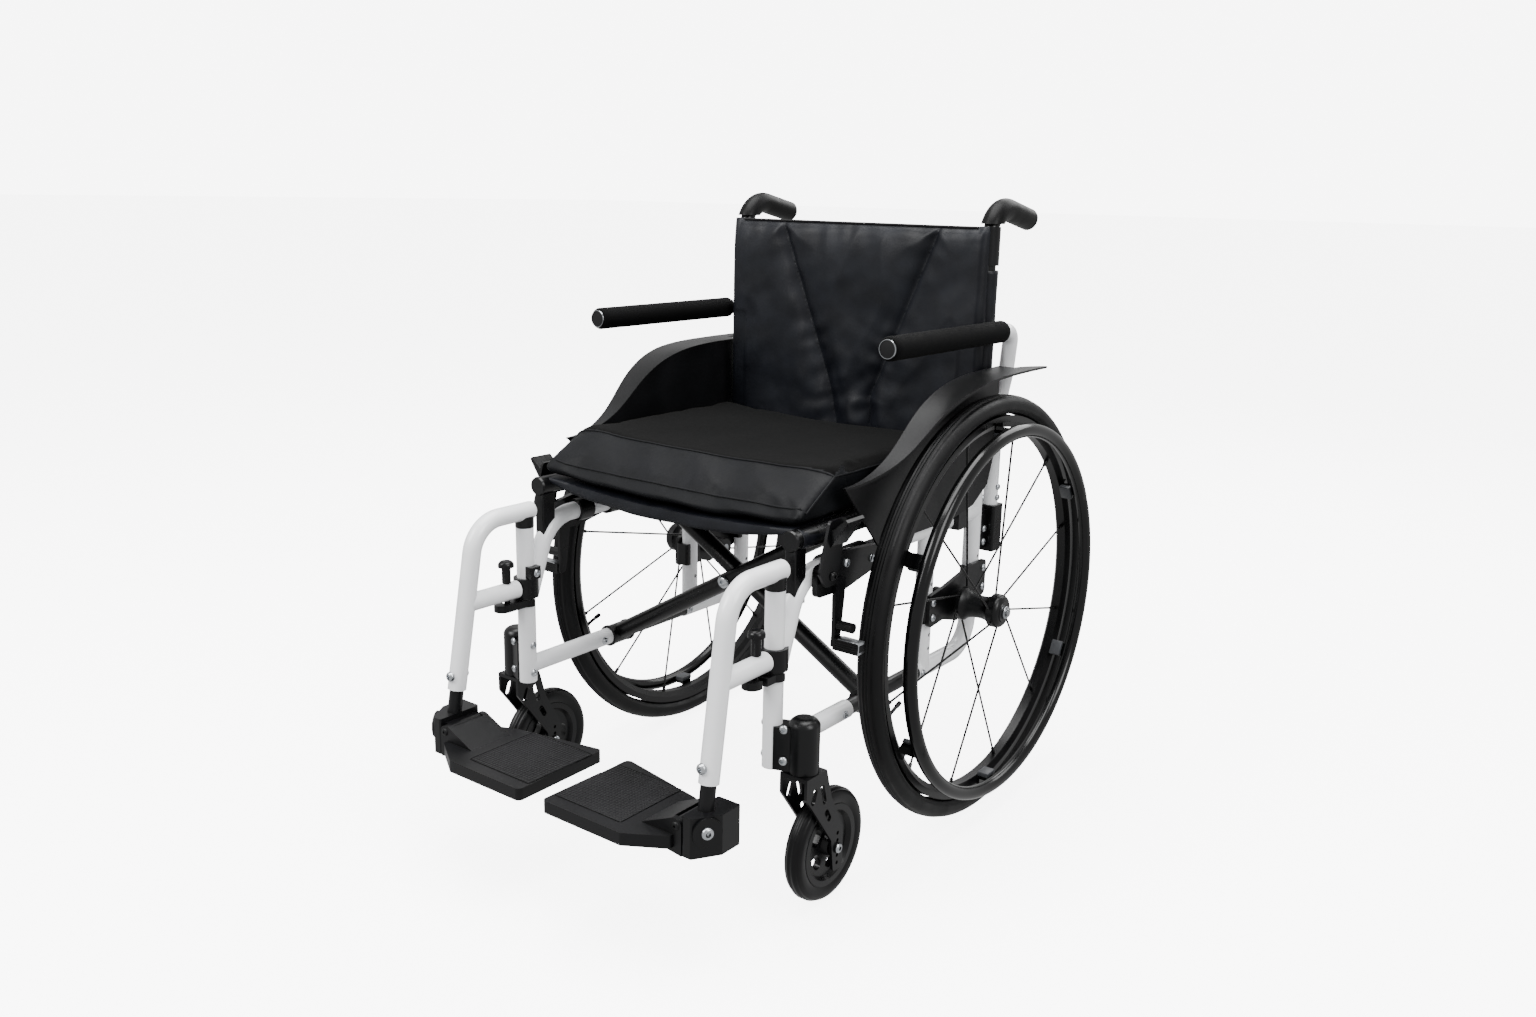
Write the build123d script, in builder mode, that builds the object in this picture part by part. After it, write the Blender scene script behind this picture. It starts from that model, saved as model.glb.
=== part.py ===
from build123d import *
from math import cos, radians, sin
import os

# A folding self-propelled wheelchair, in millimetres. +Z is up, the chair faces -Y, and +X is
# the occupant's left. Everything is laid out from the floor point under the rear axle, and each
# piece is moved back by MIDDLE_Y as it is written, so the origin is under the chair's middle.
# Left pieces are modelled, and right pieces are their mirror images.

# ---- Overall sizes ----
WHEEL_R = 305.0  # 24 inch rear wheel, over its tyre
FRAME_X = 217.5  # middle plane to each side frame: half of the distance between the frames
WHEEL_X = 275.4  # middle plane to the middle of each rear wheel
SEAT_RAIL_Z = 472.0  # seat rail's axis
TOP_RAIL_Z = 425.0  # side frame's upper tube
LOWER_RAIL_Z = 216.0  # side frame's lower tube
FRONT_POST_Y = -416.5
REAR_POST_Y = 67.0
AXLE_POST_Y = -66.0
BACK_TOP_Z = 834.0  # top of the backrest
FOOT_FRONT_Y = -614.0  # front edge of the footplates
MIDDLE_Y = -(FOOT_FRONT_Y + WHEEL_R) / 2

# ---- Tubes and clearances ----
FRAME_R = 12.5  # welded frame tubes
CAP_R = 13.3  # moulded end cap of a frame tube
FRAME_WALL = 1.5
SLIP = 0.15  # radial gap of a tube that slips into another and is bolted
INNER_R = FRAME_R - FRAME_WALL - SLIP
RUN = 0.05  # radial gap of a turning or sliding fit
GAP = 0.4  # gap between faces that pass each other
THIN_WALL = 2.0

# ---- Rear wheel ----
TYRE_W = 35.0
RIM_SEAT_R = 277.0
RIM_W = 24.0
RIM_BED_R = 260.0
WELL_W, WELL_DEPTH = 14.0, 8.0
SPOKES = 12
SPOKE_R = 1.5
NIPPLE_R, NIPPLE_LEN = 2.6, 13.0
SPOKE_LEAN = 25.0  # degrees that a spoke's hub end is turned from its rim end
HUB_IN_X, HUB_OUT_X = 242.0, 311.0
FLANGE_R = 24.0
FLANGE_IN_X, FLANGE_OUT_X = 248.0, 299.0
PIN_R = 6.35  # half-inch quick release axle
PIN_IN_X = 196.0
HANDRIM_R, HANDRIM_TUBE_R, HANDRIM_OUT = 259.7, 9.5, 39.4
TABS, TAB_ANGLE = 6, 32.0
TAB_W, TAB_T = 20.0, 4.0

# ---- Caster ----
CASTER_X, CASTER_Y, TRAIL = 255.0, -402.0, 50.0
CASTER_R, CASTER_W, CASTER_RIM_R = 74.5, 25.0, 54.0
STEM_R, HOUSING_R = 6.0, 19.5
HOUSING_LOW_Z, HOUSING_TOP_Z = 192.0, 262.0
FORK_GAP, FORK_T, CROWN_T = 33.0, 4.0, 5.0
CASTER_BOLT_R = 4.0

# ---- Folding brace ----
BRACE_R = 12.5
FRONT_BRACE_Y, REAR_BRACE_Y = -234.0, -204.0
HINGE_WALL, HINGE_LEN = 4.0, 34.0
SEAT_FRONT_Y, SEAT_REAR_Y = -392.0, 38.0

# ---- Hanger and footrest ----
HANGER_TOP_Z = 441.0
HANGER_CORNER_Y, HANGER_BEND = -503.0, 48.0
HANGER_END = (221.0, -541.0, 217.0)
BAR_Z = 333.0
KNOB_Y = -452.0
KNOB_STEM_R, KNOB_HEAD_R = 4.0, 11.0
KNOB_TOP_Z = 378.0
FOOT_STEM_R = 9.5
FOOT_PIVOT = (203.0, 172.0)  # x and z of the footplate's hinge pin
FOOT_PIN_R = 4.0
FOOT_TOP_Z, FOOT_T = 160.0, 16.0
FOOT_INNER_X, FOOT_OUTER_X = 20.0, 150.0
FOOT_REAR_Y = -465.0
FOOT_HINGE_FRONT_Y, FOOT_HINGE_REAR_Y = -578.0, -512.0

# ---- Armrest ----
ARM_X, ARM_Z = 248.0, 691.0
ARM_POST_X, ARM_POST_Y = 222.0, 110.0
ARM_TUBE_R, ARM_PAD_R = 11.0, 15.5
ARM_FRONT_Y, ARM_REAR_Y = -238.0, 62.0
SOCKET_LOW_Z, SOCKET_TOP_Z = 359.0, 429.0

# ---- Back and handles ----
BACK_TUBE_R = INNER_R
GRIP_Z, GRIP_BEND, GRIP_END = 867.0, 42.0, (182.0, 843.5)
GRIP_T, GRIP_START_Z = 5.0, 838.0
CLAMP_LOW_Z, CLAMP_TOP_Z = 781.0, 834.0

# ---- Side guard ----
GUARD_X, GUARD_T = 238.0, 3.0
GUARD_OUT_X = 290.0

# ---- Soft parts ----
SLING_T = 2.0
CUSHION_X, CUSHION_LOW_X = 230.0, 222.0
CUSHION_LOW_Z, CUSHION_TOP_Z = 487.5, 545.0
CUSHION_FRONT_Y, CUSHION_EDGE_Y, CUSHION_REAR_Y = -380.0, -322.0, 36.0
BACKREST_X, BACKREST_LOW_Z = 225.0, 500.0
BACKREST_Y, BACKREST_T = 42.0, 12.0

# ---- Fasteners ----
BOLT_R, HEAD_R, HEAD_H = 3.0, 5.5, 3.2

AXLE = Axis((0, 0, WHEEL_R), (1, 0, 0))
UP = (Align.CENTER, Align.CENTER, Align.MIN)
os.makedirs("parts", exist_ok=True)


# ---- Helpers ----
def write(piece, name):
    """Move a piece into the chair's frame, label it and write it."""
    placed = piece.moved(Location((0, MIDDLE_Y, 0)))
    placed.label = name
    export_step(placed, f"parts/{name}.step")


def write_pair(piece, name, right=None):
    """Write a left piece and its mirror image on the right, or the right piece that is given."""
    write(piece, f"left_{name}")
    write(right or mirror(piece, about=Plane.YZ), f"right_{name}")


def tube(points, bend, outer, inner=0.0):
    """A round tube along straight runs joined by arcs."""
    with BuildPart() as made:
        with BuildLine() as route:
            if len(points) > 2:
                FilletPolyline(*points, radius=bend)
            else:
                Line(*points)
        with BuildSketch(Plane(route.line @ 0, z_dir=route.line % 0)):
            Circle(outer)
            if inner:
                Circle(inner, mode=Mode.SUBTRACT)
        sweep()
    return made.part


def ring(centre, direction, outer, inner, length):
    """A sleeve centred on a point, along a direction."""
    with BuildPart(Plane(origin=centre, z_dir=direction)) as made:
        Cylinder(outer, length)
        if inner:
            Cylinder(inner, length, mode=Mode.SUBTRACT)
    return made.part


def block(low, high, corner=0.0):
    """A box between two opposite corners, with rounded upright edges."""
    size = [b - a for a, b in zip(low, high)]
    centre = [(a + b) / 2 for a, b in zip(low, high)]
    with BuildPart(Plane(origin=centre)) as made:
        Box(*size)
        if corner:
            fillet(made.edges().filter_by(Axis.Z), corner)
    return made.part


def domed_bolt(radius=HEAD_R, height=HEAD_H, hole=True):
    """A domed screw head with a socket, standing on the origin."""
    with BuildPart() as made:
        with BuildSketch(Plane.XZ):
            with BuildLine():
                rim_point, flat = (radius, height * 0.35), (radius * 0.4, height)
                Polyline(flat, (0, height), (0, 0), (radius, 0), rim_point)
                ThreePointArc(rim_point, (radius * 0.8, height * 0.82), flat)
            make_face()
        revolve(axis=Axis.Z)
        if hole:
            with BuildSketch(Plane.XY.offset(height)):
                RegularPolygon(radius * 0.36, 6)
            extrude(amount=-height * 0.6, mode=Mode.SUBTRACT)
    return made.part


def bolts(places, head=None):
    """Separate screw heads, one at each (point, direction)."""
    head = head or domed_bolt()
    with BuildPart() as made:
        for point, direction in places:
            add(Plane(origin=point, z_dir=direction).location * head)
    return made.part


def on_wheel(radius, angle, x):
    """A point on the rear wheel, from its radius and its angle from the rear."""
    turn = radians(angle)
    return (x, radius * cos(turn), WHEEL_R + radius * sin(turn))


# ---- Side frame: one welding of coped tubes ----
front_bottom_z, front_top_z = HOUSING_LOW_Z + 1, 419.0
STUB_END_Y, REAR_STUB_Y = -256.0, -84.0
frame_routes = [
    ([(FRAME_X, FRONT_POST_Y, front_bottom_z), (FRAME_X, FRONT_POST_Y, front_top_z)], 0),
    (
        [
            (FRAME_X, FRONT_POST_Y + 6, 318),
            (FRAME_X, -372, TOP_RAIL_Z),
            (FRAME_X, REAR_POST_Y, TOP_RAIL_Z),
        ],
        60,
    ),
    (
        [
            (FRAME_X, REAR_STUB_Y, LOWER_RAIL_Z),
            (FRAME_X, REAR_POST_Y, LOWER_RAIL_Z),
            (FRAME_X, REAR_POST_Y, 462),
        ],
        48,
    ),
    ([(FRAME_X, AXLE_POST_Y, LOWER_RAIL_Z), (FRAME_X, AXLE_POST_Y, TOP_RAIL_Z)], 0),
    ([(FRAME_X, FRONT_POST_Y, LOWER_RAIL_Z), (FRAME_X, STUB_END_Y, LOWER_RAIL_Z)], 0),
]
adjust_holes = [(AXLE_POST_Y, z) for z in (250, 270, 345, 365)]
adjust_holes += [(REAR_POST_Y, z) for z in (270, 345, 358)]

with BuildPart() as side_frame:
    for points, bend in frame_routes:
        add(tube(points, bend, FRAME_R))
    for points, bend in frame_routes:
        add(tube(points, bend, FRAME_R - FRAME_WALL), mode=Mode.SUBTRACT)
    with Locations(*[Plane((FRAME_X, y, z), z_dir=(1, 0, 0)) for y, z in adjust_holes]):
        Cylinder(BOLT_R, 4 * FRAME_R, mode=Mode.SUBTRACT)

# The frame is flat, so the right one is the same welding moved across
write_pair(side_frame.part, "side_frame", side_frame.part.moved(Location((-2 * FRAME_X, 0, 0))))

# The lower rail's middle tube is slipped into both white ends
lower_ends = [(FRAME_X, STUB_END_Y - 45, LOWER_RAIL_Z), (FRAME_X, AXLE_POST_Y - 12, LOWER_RAIL_Z)]
lower_tube = tube(lower_ends, 0, INNER_R, INNER_R - THIN_WALL)
write_pair(lower_tube, "lower_tube")

# ---- Back post, handle and its clamp ----
grip_direction = (Vector(FRAME_X, *GRIP_END) - Vector(FRAME_X, REAR_POST_Y, GRIP_Z)).normalized()
back_start = (FRAME_X, REAR_POST_Y, 404)
back_corner = (FRAME_X, REAR_POST_Y, GRIP_Z)
back_end = Vector(FRAME_X, *GRIP_END)
back_post = tube(
    [back_start, back_corner, tuple(back_end - grip_direction * 4)],
    GRIP_BEND,
    BACK_TUBE_R,
    BACK_TUBE_R - THIN_WALL,
)
write_pair(back_post, "back_post")

with BuildPart() as push_grip:
    add(
        tube(
            [(FRAME_X, REAR_POST_Y, GRIP_START_Z - 60), back_corner, tuple(back_end)],
            GRIP_BEND,
            BACK_TUBE_R + GRIP_T,
            BACK_TUBE_R,
        )
    )
    with BuildSketch(Plane(tuple(back_end), z_dir=tuple(grip_direction))):
        Circle(BACK_TUBE_R + GRIP_T)
    extrude(amount=6, taper=35)
    add(block((FRAME_X - 30, REAR_POST_Y - 30, 700), (FRAME_X + 30, REAR_POST_Y + 30, GRIP_START_Z)),
        mode=Mode.SUBTRACT)
write_pair(push_grip.part, "push_grip")

# ---- Axle bracket: a plate over both rear posts with the axle's receiver ----
plate_x = FRAME_X + FRAME_R + 0.2
PLATE_T = 6.0
with BuildPart() as axle_bracket:
    with BuildSketch(Plane.YZ.offset(plate_x)):
        with BuildLine():
            FilletPolyline(
                (-80, 284), (-80, 331), (-40, 336), (40, 352), (82, 352),
                (82, 300), (40, 286), (0, 276), (-40, 288),
                radius=7, close=True,
            )
        make_face()
    extrude(amount=PLATE_T)
    add(ring((FRAME_X + 2, 0, WHEEL_R), (1, 0, 0), 15, 0, 2 * (HUB_IN_X - GAP - FRAME_X - 2)))
    for y, z in ((AXLE_POST_Y, 307), (REAR_POST_Y, 326)):
        add(block((FRAME_X - 9, y - 17, z - 17), (plate_x + 1, y + 17, z + 17), 4))
        add(ring((FRAME_X, y, z), (0, 0, 1), FRAME_R + 0.1, 0, 60), mode=Mode.SUBTRACT)
    add(ring((FRAME_X, 0, WHEEL_R), (1, 0, 0), PIN_R + RUN, 0, 120), mode=Mode.SUBTRACT)
write_pair(axle_bracket.part, "axle_bracket")

# ---- Caster housing, clamped to the front post ----
to_housing = Vector(CASTER_X - FRAME_X, CASTER_Y - FRONT_POST_Y, 0)
with BuildPart() as caster_housing:
    with BuildSketch(Plane.XZ.offset(-CASTER_Y)):
        with BuildLine():
            shoulder = (CASTER_X + HOUSING_R, HOUSING_TOP_Z - 9)
            crest = (CASTER_X + HOUSING_R * 0.35, HOUSING_TOP_Z)
            Polyline(
                crest, (CASTER_X, HOUSING_TOP_Z), (CASTER_X, HOUSING_LOW_Z),
                (CASTER_X + HOUSING_R, HOUSING_LOW_Z), shoulder,
            )
            ThreePointArc(shoulder, (CASTER_X + HOUSING_R * 0.8, HOUSING_TOP_Z - 3), crest)
        make_face()
    revolve(axis=Axis((CASTER_X, CASTER_Y, 0), (0, 0, 1)))
    clamp_plane = Plane(
        origin=(FRAME_X, FRONT_POST_Y, 222), x_dir=tuple(to_housing), z_dir=(0, 0, 1)
    )
    with BuildPart(clamp_plane, mode=Mode.PRIVATE) as clamp:
        with Locations((4, 0, 0)):
            Box(28, 27, 56, align=(Align.MIN, Align.CENTER, Align.CENTER))
        fillet(clamp.edges().filter_by(Axis.Z), 2.5)
    add(clamp.part)
    add(ring((FRAME_X, FRONT_POST_Y, 222), (0, 0, 1), FRAME_R + 0.05, 0, 120), mode=Mode.SUBTRACT)
    stub_centre = (FRAME_X, FRONT_POST_Y + 60, LOWER_RAIL_Z)
    add(ring(stub_centre, (0, 1, 0), FRAME_R + 0.05, 0, 120), mode=Mode.SUBTRACT)
    with Locations(Plane(origin=(CASTER_X, CASTER_Y, HOUSING_LOW_Z))):
        Cylinder(STEM_R + RUN, 55, align=UP, mode=Mode.SUBTRACT)
write_pair(caster_housing.part, "caster_housing")


# ---- Rear wheel ----
rim_half = RIM_W / 2
with BuildPart() as tyre:
    with BuildSketch(Plane.XZ):
        with Locations((WHEEL_X, 2 * WHEEL_R - TYRE_W / 2)):
            Circle(TYRE_W / 2)
        with Locations((WHEEL_X, WHEEL_R + RIM_SEAT_R)):
            Rectangle(RIM_W, 40, align=(Align.CENTER, Align.MAX), mode=Mode.SUBTRACT)
    revolve(axis=AXLE)
write_pair(tyre.part, "tyre")

with BuildPart() as rim:
    with BuildSketch(Plane.XZ):
        with BuildLine():
            Polyline(
                (WHEEL_X - rim_half, WHEEL_R + RIM_SEAT_R),
                (WHEEL_X - rim_half, WHEEL_R + RIM_BED_R + 8),
                (WHEEL_X - rim_half * 0.55, WHEEL_R + RIM_BED_R),
                (WHEEL_X + rim_half * 0.55, WHEEL_R + RIM_BED_R),
                (WHEEL_X + rim_half, WHEEL_R + RIM_BED_R + 8),
                (WHEEL_X + rim_half, WHEEL_R + RIM_SEAT_R),
                close=True,
            )
        make_face()
        with Locations((WHEEL_X, WHEEL_R + RIM_SEAT_R)):
            Rectangle(WELL_W, WELL_DEPTH, align=(Align.CENTER, Align.MAX), mode=Mode.SUBTRACT)
    revolve(axis=AXLE)

# Spokes run from alternate hub flanges to the middle of the rim's bed
spoke_lines = []
for k in range(SPOKES):
    rim_angle = 15.7 + k * 360 / SPOKES
    outer = k % 2 == 0
    hub_angle = rim_angle + (SPOKE_LEAN if outer else -SPOKE_LEAN)
    hub_point = on_wheel(FLANGE_R + 1.5, hub_angle, FLANGE_OUT_X if outer else FLANGE_IN_X)
    rim_point = on_wheel(RIM_BED_R + 4, rim_angle, WHEEL_X)
    spoke_lines.append((Vector(*hub_point), Vector(*rim_point)))

with BuildPart() as spokes:
    for start, end in spoke_lines:
        along = (end - start).normalized()
        add(tube([tuple(start), tuple(end - along)], 0, SPOKE_R))
        add(tube([tuple(end - along * NIPPLE_LEN), tuple(end)], 0, NIPPLE_R))
write_pair(spokes.part, "spokes")

with BuildPart() as drilled_rim:
    add(rim.part)
    for start, end in spoke_lines:
        along = (end - start).normalized()
        add(
            tube([tuple(end - along * 9), tuple(end + along * 30)], 0, NIPPLE_R + RUN),
            mode=Mode.SUBTRACT,
        )
write_pair(drilled_rim.part, "rim")

with BuildPart() as hub:
    with BuildSketch(Plane.XZ):
        with BuildLine():
            z0 = WHEEL_R + PIN_R + RUN
            Polyline(
                (HUB_OUT_X, WHEEL_R + 17), (HUB_OUT_X, z0), (HUB_IN_X, z0), (HUB_IN_X, WHEEL_R + 19),
                (FLANGE_IN_X - 3, WHEEL_R + FLANGE_R), (FLANGE_IN_X + 3, WHEEL_R + FLANGE_R),
            )
            Spline(
                (FLANGE_IN_X + 3, WHEEL_R + FLANGE_R),
                ((FLANGE_IN_X + FLANGE_OUT_X) / 2 - 2, WHEEL_R + 16.5),
                (FLANGE_OUT_X - 5, WHEEL_R + FLANGE_R),
                tangents=[(1, -1.1), (1, 1.6)],
            )
            Line((FLANGE_OUT_X - 5, WHEEL_R + FLANGE_R), (FLANGE_OUT_X + 3, WHEEL_R + FLANGE_R))
            ThreePointArc(
                (FLANGE_OUT_X + 3, WHEEL_R + FLANGE_R),
                (FLANGE_OUT_X + 9.5, WHEEL_R + FLANGE_R - 2.5),
                (HUB_OUT_X, WHEEL_R + 17),
            )
        make_face()
    revolve(axis=AXLE)
write_pair(hub.part, "hub")

with BuildPart() as quick_release:
    add(tube([(PIN_IN_X, 0, WHEEL_R), (HUB_OUT_X + 1, 0, WHEEL_R)], 0, PIN_R))
    add(tube([(HUB_OUT_X + GAP, 0, WHEEL_R), (HUB_OUT_X + 5, 0, WHEEL_R)], 0, 9.5))
    fillet(quick_release.faces().sort_by(Axis.X)[-1].edges(), 2)
write_pair(quick_release.part, "quick_release_axle")

handrim_x = WHEEL_X + HANDRIM_OUT
tab_start = WHEEL_X + rim_half + 0.05
with BuildPart() as handrim:
    with BuildSketch(Plane.XZ):
        with Locations((handrim_x, WHEEL_R + HANDRIM_R)):
            Circle(HANDRIM_TUBE_R)
            Circle(HANDRIM_TUBE_R - THIN_WALL, mode=Mode.SUBTRACT)
    revolve(axis=AXLE)
    for k in range(TABS):
        tab_plane = Plane(
            origin=(tab_start, 0, WHEEL_R),
            x_dir=(0, cos(radians(TAB_ANGLE + k * 60)), sin(radians(TAB_ANGLE + k * 60))),
            z_dir=(1, 0, 0),
        )
        with BuildSketch(tab_plane):
            with Locations((HANDRIM_R + 1, 0)):
                Rectangle(TAB_T, TAB_W)
        extrude(amount=HANDRIM_OUT - rim_half - HANDRIM_TUBE_R + 2)
        with BuildSketch(tab_plane):
            with Locations((HANDRIM_R + 5, 0)):
                Rectangle(13, TAB_W)
        extrude(amount=2.5)
write_pair(handrim.part, "handrim")

# ---- Caster ----
caster_axle = Axis((0, CASTER_Y + TRAIL, CASTER_R), (1, 0, 0))
axle_y = CASTER_Y + TRAIL
fork_in = FORK_GAP / 2
crown_top = HOUSING_LOW_Z - GAP
with BuildPart() as caster_fork:
    for side in (-1, 1):
        leg_x = CASTER_X + side * fork_in + (0 if side > 0 else -FORK_T)
        with BuildSketch(Plane.YZ.offset(leg_x)):
            with BuildLine():
                FilletPolyline(
                    (CASTER_Y - 20, crown_top), (CASTER_Y + 22, crown_top),
                    (CASTER_Y + 34, 150), (axle_y + 12, 100), (axle_y + 12, 44),
                    (axle_y - 8, 44), (axle_y - 14, 90), (CASTER_Y + 2, 136),
                    (CASTER_Y - 20, 165),
                    radius=5, close=True,
                )
            make_face()
            with Locations((CASTER_Y - 4, 164)):
                SlotCenterToCenter(12, 9, rotation=70, mode=Mode.SUBTRACT)
            with Locations((CASTER_Y + 16, 160)):
                SlotCenterToCenter(20, 8, rotation=105, mode=Mode.SUBTRACT)
            with Locations((CASTER_Y + 27, 128)):
                SlotCenterToCenter(12, 8, rotation=120, mode=Mode.SUBTRACT)
            for k in (-2, -1, 1, 2):
                with Locations((axle_y, CASTER_R + k * 10.3)):
                    Circle(2.6, mode=Mode.SUBTRACT)
        extrude(amount=FORK_T)
    crown_low = (CASTER_X - fork_in - FORK_T, CASTER_Y - 20, crown_top - CROWN_T)
    crown_high = (CASTER_X + fork_in + FORK_T, CASTER_Y + 22, crown_top)
    add(block(crown_low, crown_high))
    add(tube([(CASTER_X, CASTER_Y, crown_top - 1), (CASTER_X, CASTER_Y, 240)], 0, STEM_R))
    add(ring((CASTER_X, axle_y, CASTER_R), (1, 0, 0), CASTER_BOLT_R, 0, FORK_GAP + 2 * FORK_T))
    for side in (-1, 1):
        spot = (CASTER_X + side * (fork_in + FORK_T - 0.2), axle_y, CASTER_R)
        add(Plane(origin=spot, z_dir=(side, 0, 0)).location * domed_bolt(7, 4.5))
write_pair(caster_fork.part, "caster_fork")

with BuildPart() as caster_wheel:
    with BuildSketch(Plane.XZ.offset(-axle_y)):
        z0 = CASTER_R + CASTER_BOLT_R + RUN
        with BuildLine():
            Polyline(
                (CASTER_X - 13, z0), (CASTER_X - 13, CASTER_R + 12), (CASTER_X - 5, CASTER_R + 15),
                (CASTER_X - 5, CASTER_R + 42), (CASTER_X - 11, CASTER_R + 46),
                (CASTER_X - 11, CASTER_R + CASTER_RIM_R), (CASTER_X + 11, CASTER_R + CASTER_RIM_R),
                (CASTER_X + 11, CASTER_R + 46), (CASTER_X + 5, CASTER_R + 42),
                (CASTER_X + 5, CASTER_R + 15), (CASTER_X + 13, CASTER_R + 12), (CASTER_X + 13, z0),
                close=True,
            )
        make_face()
    revolve(axis=caster_axle)
    for k in range(5):
        turn = radians(k * 72)
        hole = (axle_y + 28.5 * cos(turn), CASTER_R + 28.5 * sin(turn))
        with BuildSketch(Plane.YZ.offset(CASTER_X)):
            with Locations(Location((*hole, 0), (0, 0, k * 72))):
                SlotOverall(24, 15, rotation=90)
        extrude(amount=20, both=True, mode=Mode.SUBTRACT)
write_pair(caster_wheel.part, "caster_wheel")

with BuildPart() as caster_tyre:
    half = CASTER_W / 2
    with BuildSketch(Plane.XZ.offset(-axle_y)):
        with BuildLine():
            Polyline(
                (CASTER_X - half, 2 * CASTER_R - 9), (CASTER_X - half + 1.5, CASTER_R + CASTER_RIM_R),
                (CASTER_X + half - 1.5, CASTER_R + CASTER_RIM_R), (CASTER_X + half, 2 * CASTER_R - 9),
            )
            ThreePointArc(
                (CASTER_X + half, 2 * CASTER_R - 9), (CASTER_X, 2 * CASTER_R),
                (CASTER_X - half, 2 * CASTER_R - 9),
            )
        make_face()
    revolve(axis=caster_axle)
write_pair(caster_tyre.part, "caster_tyre")

# ---- Folding brace: two tubes crossing side by side, each carrying the other side's seat rail ----
def cross_tube(side, y):
    """A brace tube from the lower rail on one side (1 left) to the seat rail on the other."""
    low = Vector(side * FRAME_X, y, LOWER_RAIL_Z)
    high = Vector(-side * FRAME_X, y, SEAT_RAIL_Z)
    along = (high - low).normalized()
    with BuildPart() as made:
        add(tube([tuple(low), tuple(high)], 0, BRACE_R))
        add(ring(tuple(low), (0, 1, 0), INNER_R + RUN + HINGE_WALL, 0, HINGE_LEN))
        add(ring(tuple(low), (0, 1, 0), INNER_R + RUN, 0, 2 * HINGE_LEN), mode=Mode.SUBTRACT)
        add(
            tube([tuple(low + along * 25), tuple(high - along * 2)], 0, BRACE_R - THIN_WALL),
            mode=Mode.SUBTRACT,
        )
        add(ring(tuple(high), (0, 1, 0), FRAME_R, 0, 4 * BRACE_R), mode=Mode.SUBTRACT)
        middle = (low + high) * 0.5
        add(ring(tuple(middle), (0, 1, 0), BOLT_R + 1.2, 0, 60), mode=Mode.SUBTRACT)
    return made.part


write(cross_tube(-1, FRONT_BRACE_Y), "front_cross_tube")
write(cross_tube(1, REAR_BRACE_Y), "rear_cross_tube")

brace_z = (LOWER_RAIL_Z + SEAT_RAIL_Z) / 2
bolt_front = FRONT_BRACE_Y - BRACE_R - 0.2
bolt_rear = REAR_BRACE_Y + BRACE_R + 0.2
with BuildPart() as brace_bolt:
    add(tube([(0, bolt_front - 1, brace_z), (0, bolt_rear + 1, brace_z)], 0, BOLT_R + 1.2 - RUN))
    add(Plane(origin=(0, bolt_front, brace_z), z_dir=(0, -1, 0)).location * domed_bolt(9, 5))
    add(tube([(0, bolt_rear, brace_z), (0, bolt_rear + 7, brace_z)], 0, 7))
write(brace_bolt.part, "brace_pivot_bolt")

with BuildPart() as seat_rail:
    add(
        tube(
            [(FRAME_X, SEAT_FRONT_Y + 3, SEAT_RAIL_Z), (FRAME_X, SEAT_REAR_Y - 3, SEAT_RAIL_Z)],
            0,
            FRAME_R,
            FRAME_R - THIN_WALL,
        )
    )
    for y, way in ((SEAT_FRONT_Y + 3, -1), (SEAT_REAR_Y - 3, 1)):
        with BuildSketch(Plane(origin=(FRAME_X, y, SEAT_RAIL_Z), z_dir=(0, way, 0))):
            Circle(CAP_R)
        extrude(amount=3, taper=20)
write_pair(seat_rail.part, "seat_rail")


# ---- Side guard: an upright wall with a flange that runs over the tyre ----
guard_top = [
    (-312, 527), (-255, 534), (-205, 556), (-155, 594), (-100, 622), (-20, 637), (78, 640),
]
guard_wall = [(-228, 436), (-40, 436), (20, 446), (60, 470), (78, 520)]
with BuildPart() as side_guard:
    with BuildSketch(Plane.YZ.offset(GUARD_X)):
        with BuildLine():
            curve = Spline(*guard_top)
            Polyline(curve @ 1, *reversed(guard_wall), curve @ 0)
        make_face()
    extrude(amount=GUARD_T)
    with BuildSketch(Plane.YZ.offset(GUARD_X)):
        with BuildLine():
            curve = Spline(*guard_top)
            lower = Spline(*[(y + (2 if y < 0 else 0), z - GUARD_T) for y, z in guard_top])
            Line(curve @ 0, lower @ 0)
            Line(curve @ 1, lower @ 1)
        make_face()
    extrude(amount=GUARD_OUT_X - GUARD_X)
    add(block((262, 77, 637), (GUARD_OUT_X, 128, 640)))
    # The flange narrows to nothing at the front, and its rear tail to a point
    with BuildSketch(Plane.XY.offset(460)):
        with BuildLine():
            taper = Spline(
                (GUARD_X + GUARD_T + 1, -313), (GUARD_X + 13, -255), (GUARD_X + 30, -190),
                (GUARD_OUT_X - 8, -125), (GUARD_OUT_X, -60),
            )
            Polyline(taper @ 1, (GUARD_OUT_X + 1, -60), (GUARD_OUT_X + 1, -330),
                     (GUARD_X + GUARD_T + 1, -330), taper @ 0)
        make_face()
        with BuildLine():
            tail = Spline((262, 77), (272, 108), (GUARD_OUT_X - 2, 129))
            Polyline(tail @ 1, (261, 129), (261, 77), tail @ 0)
        make_face()
    extrude(amount=200, mode=Mode.SUBTRACT)
write_pair(side_guard.part, "side_guard")

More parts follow.
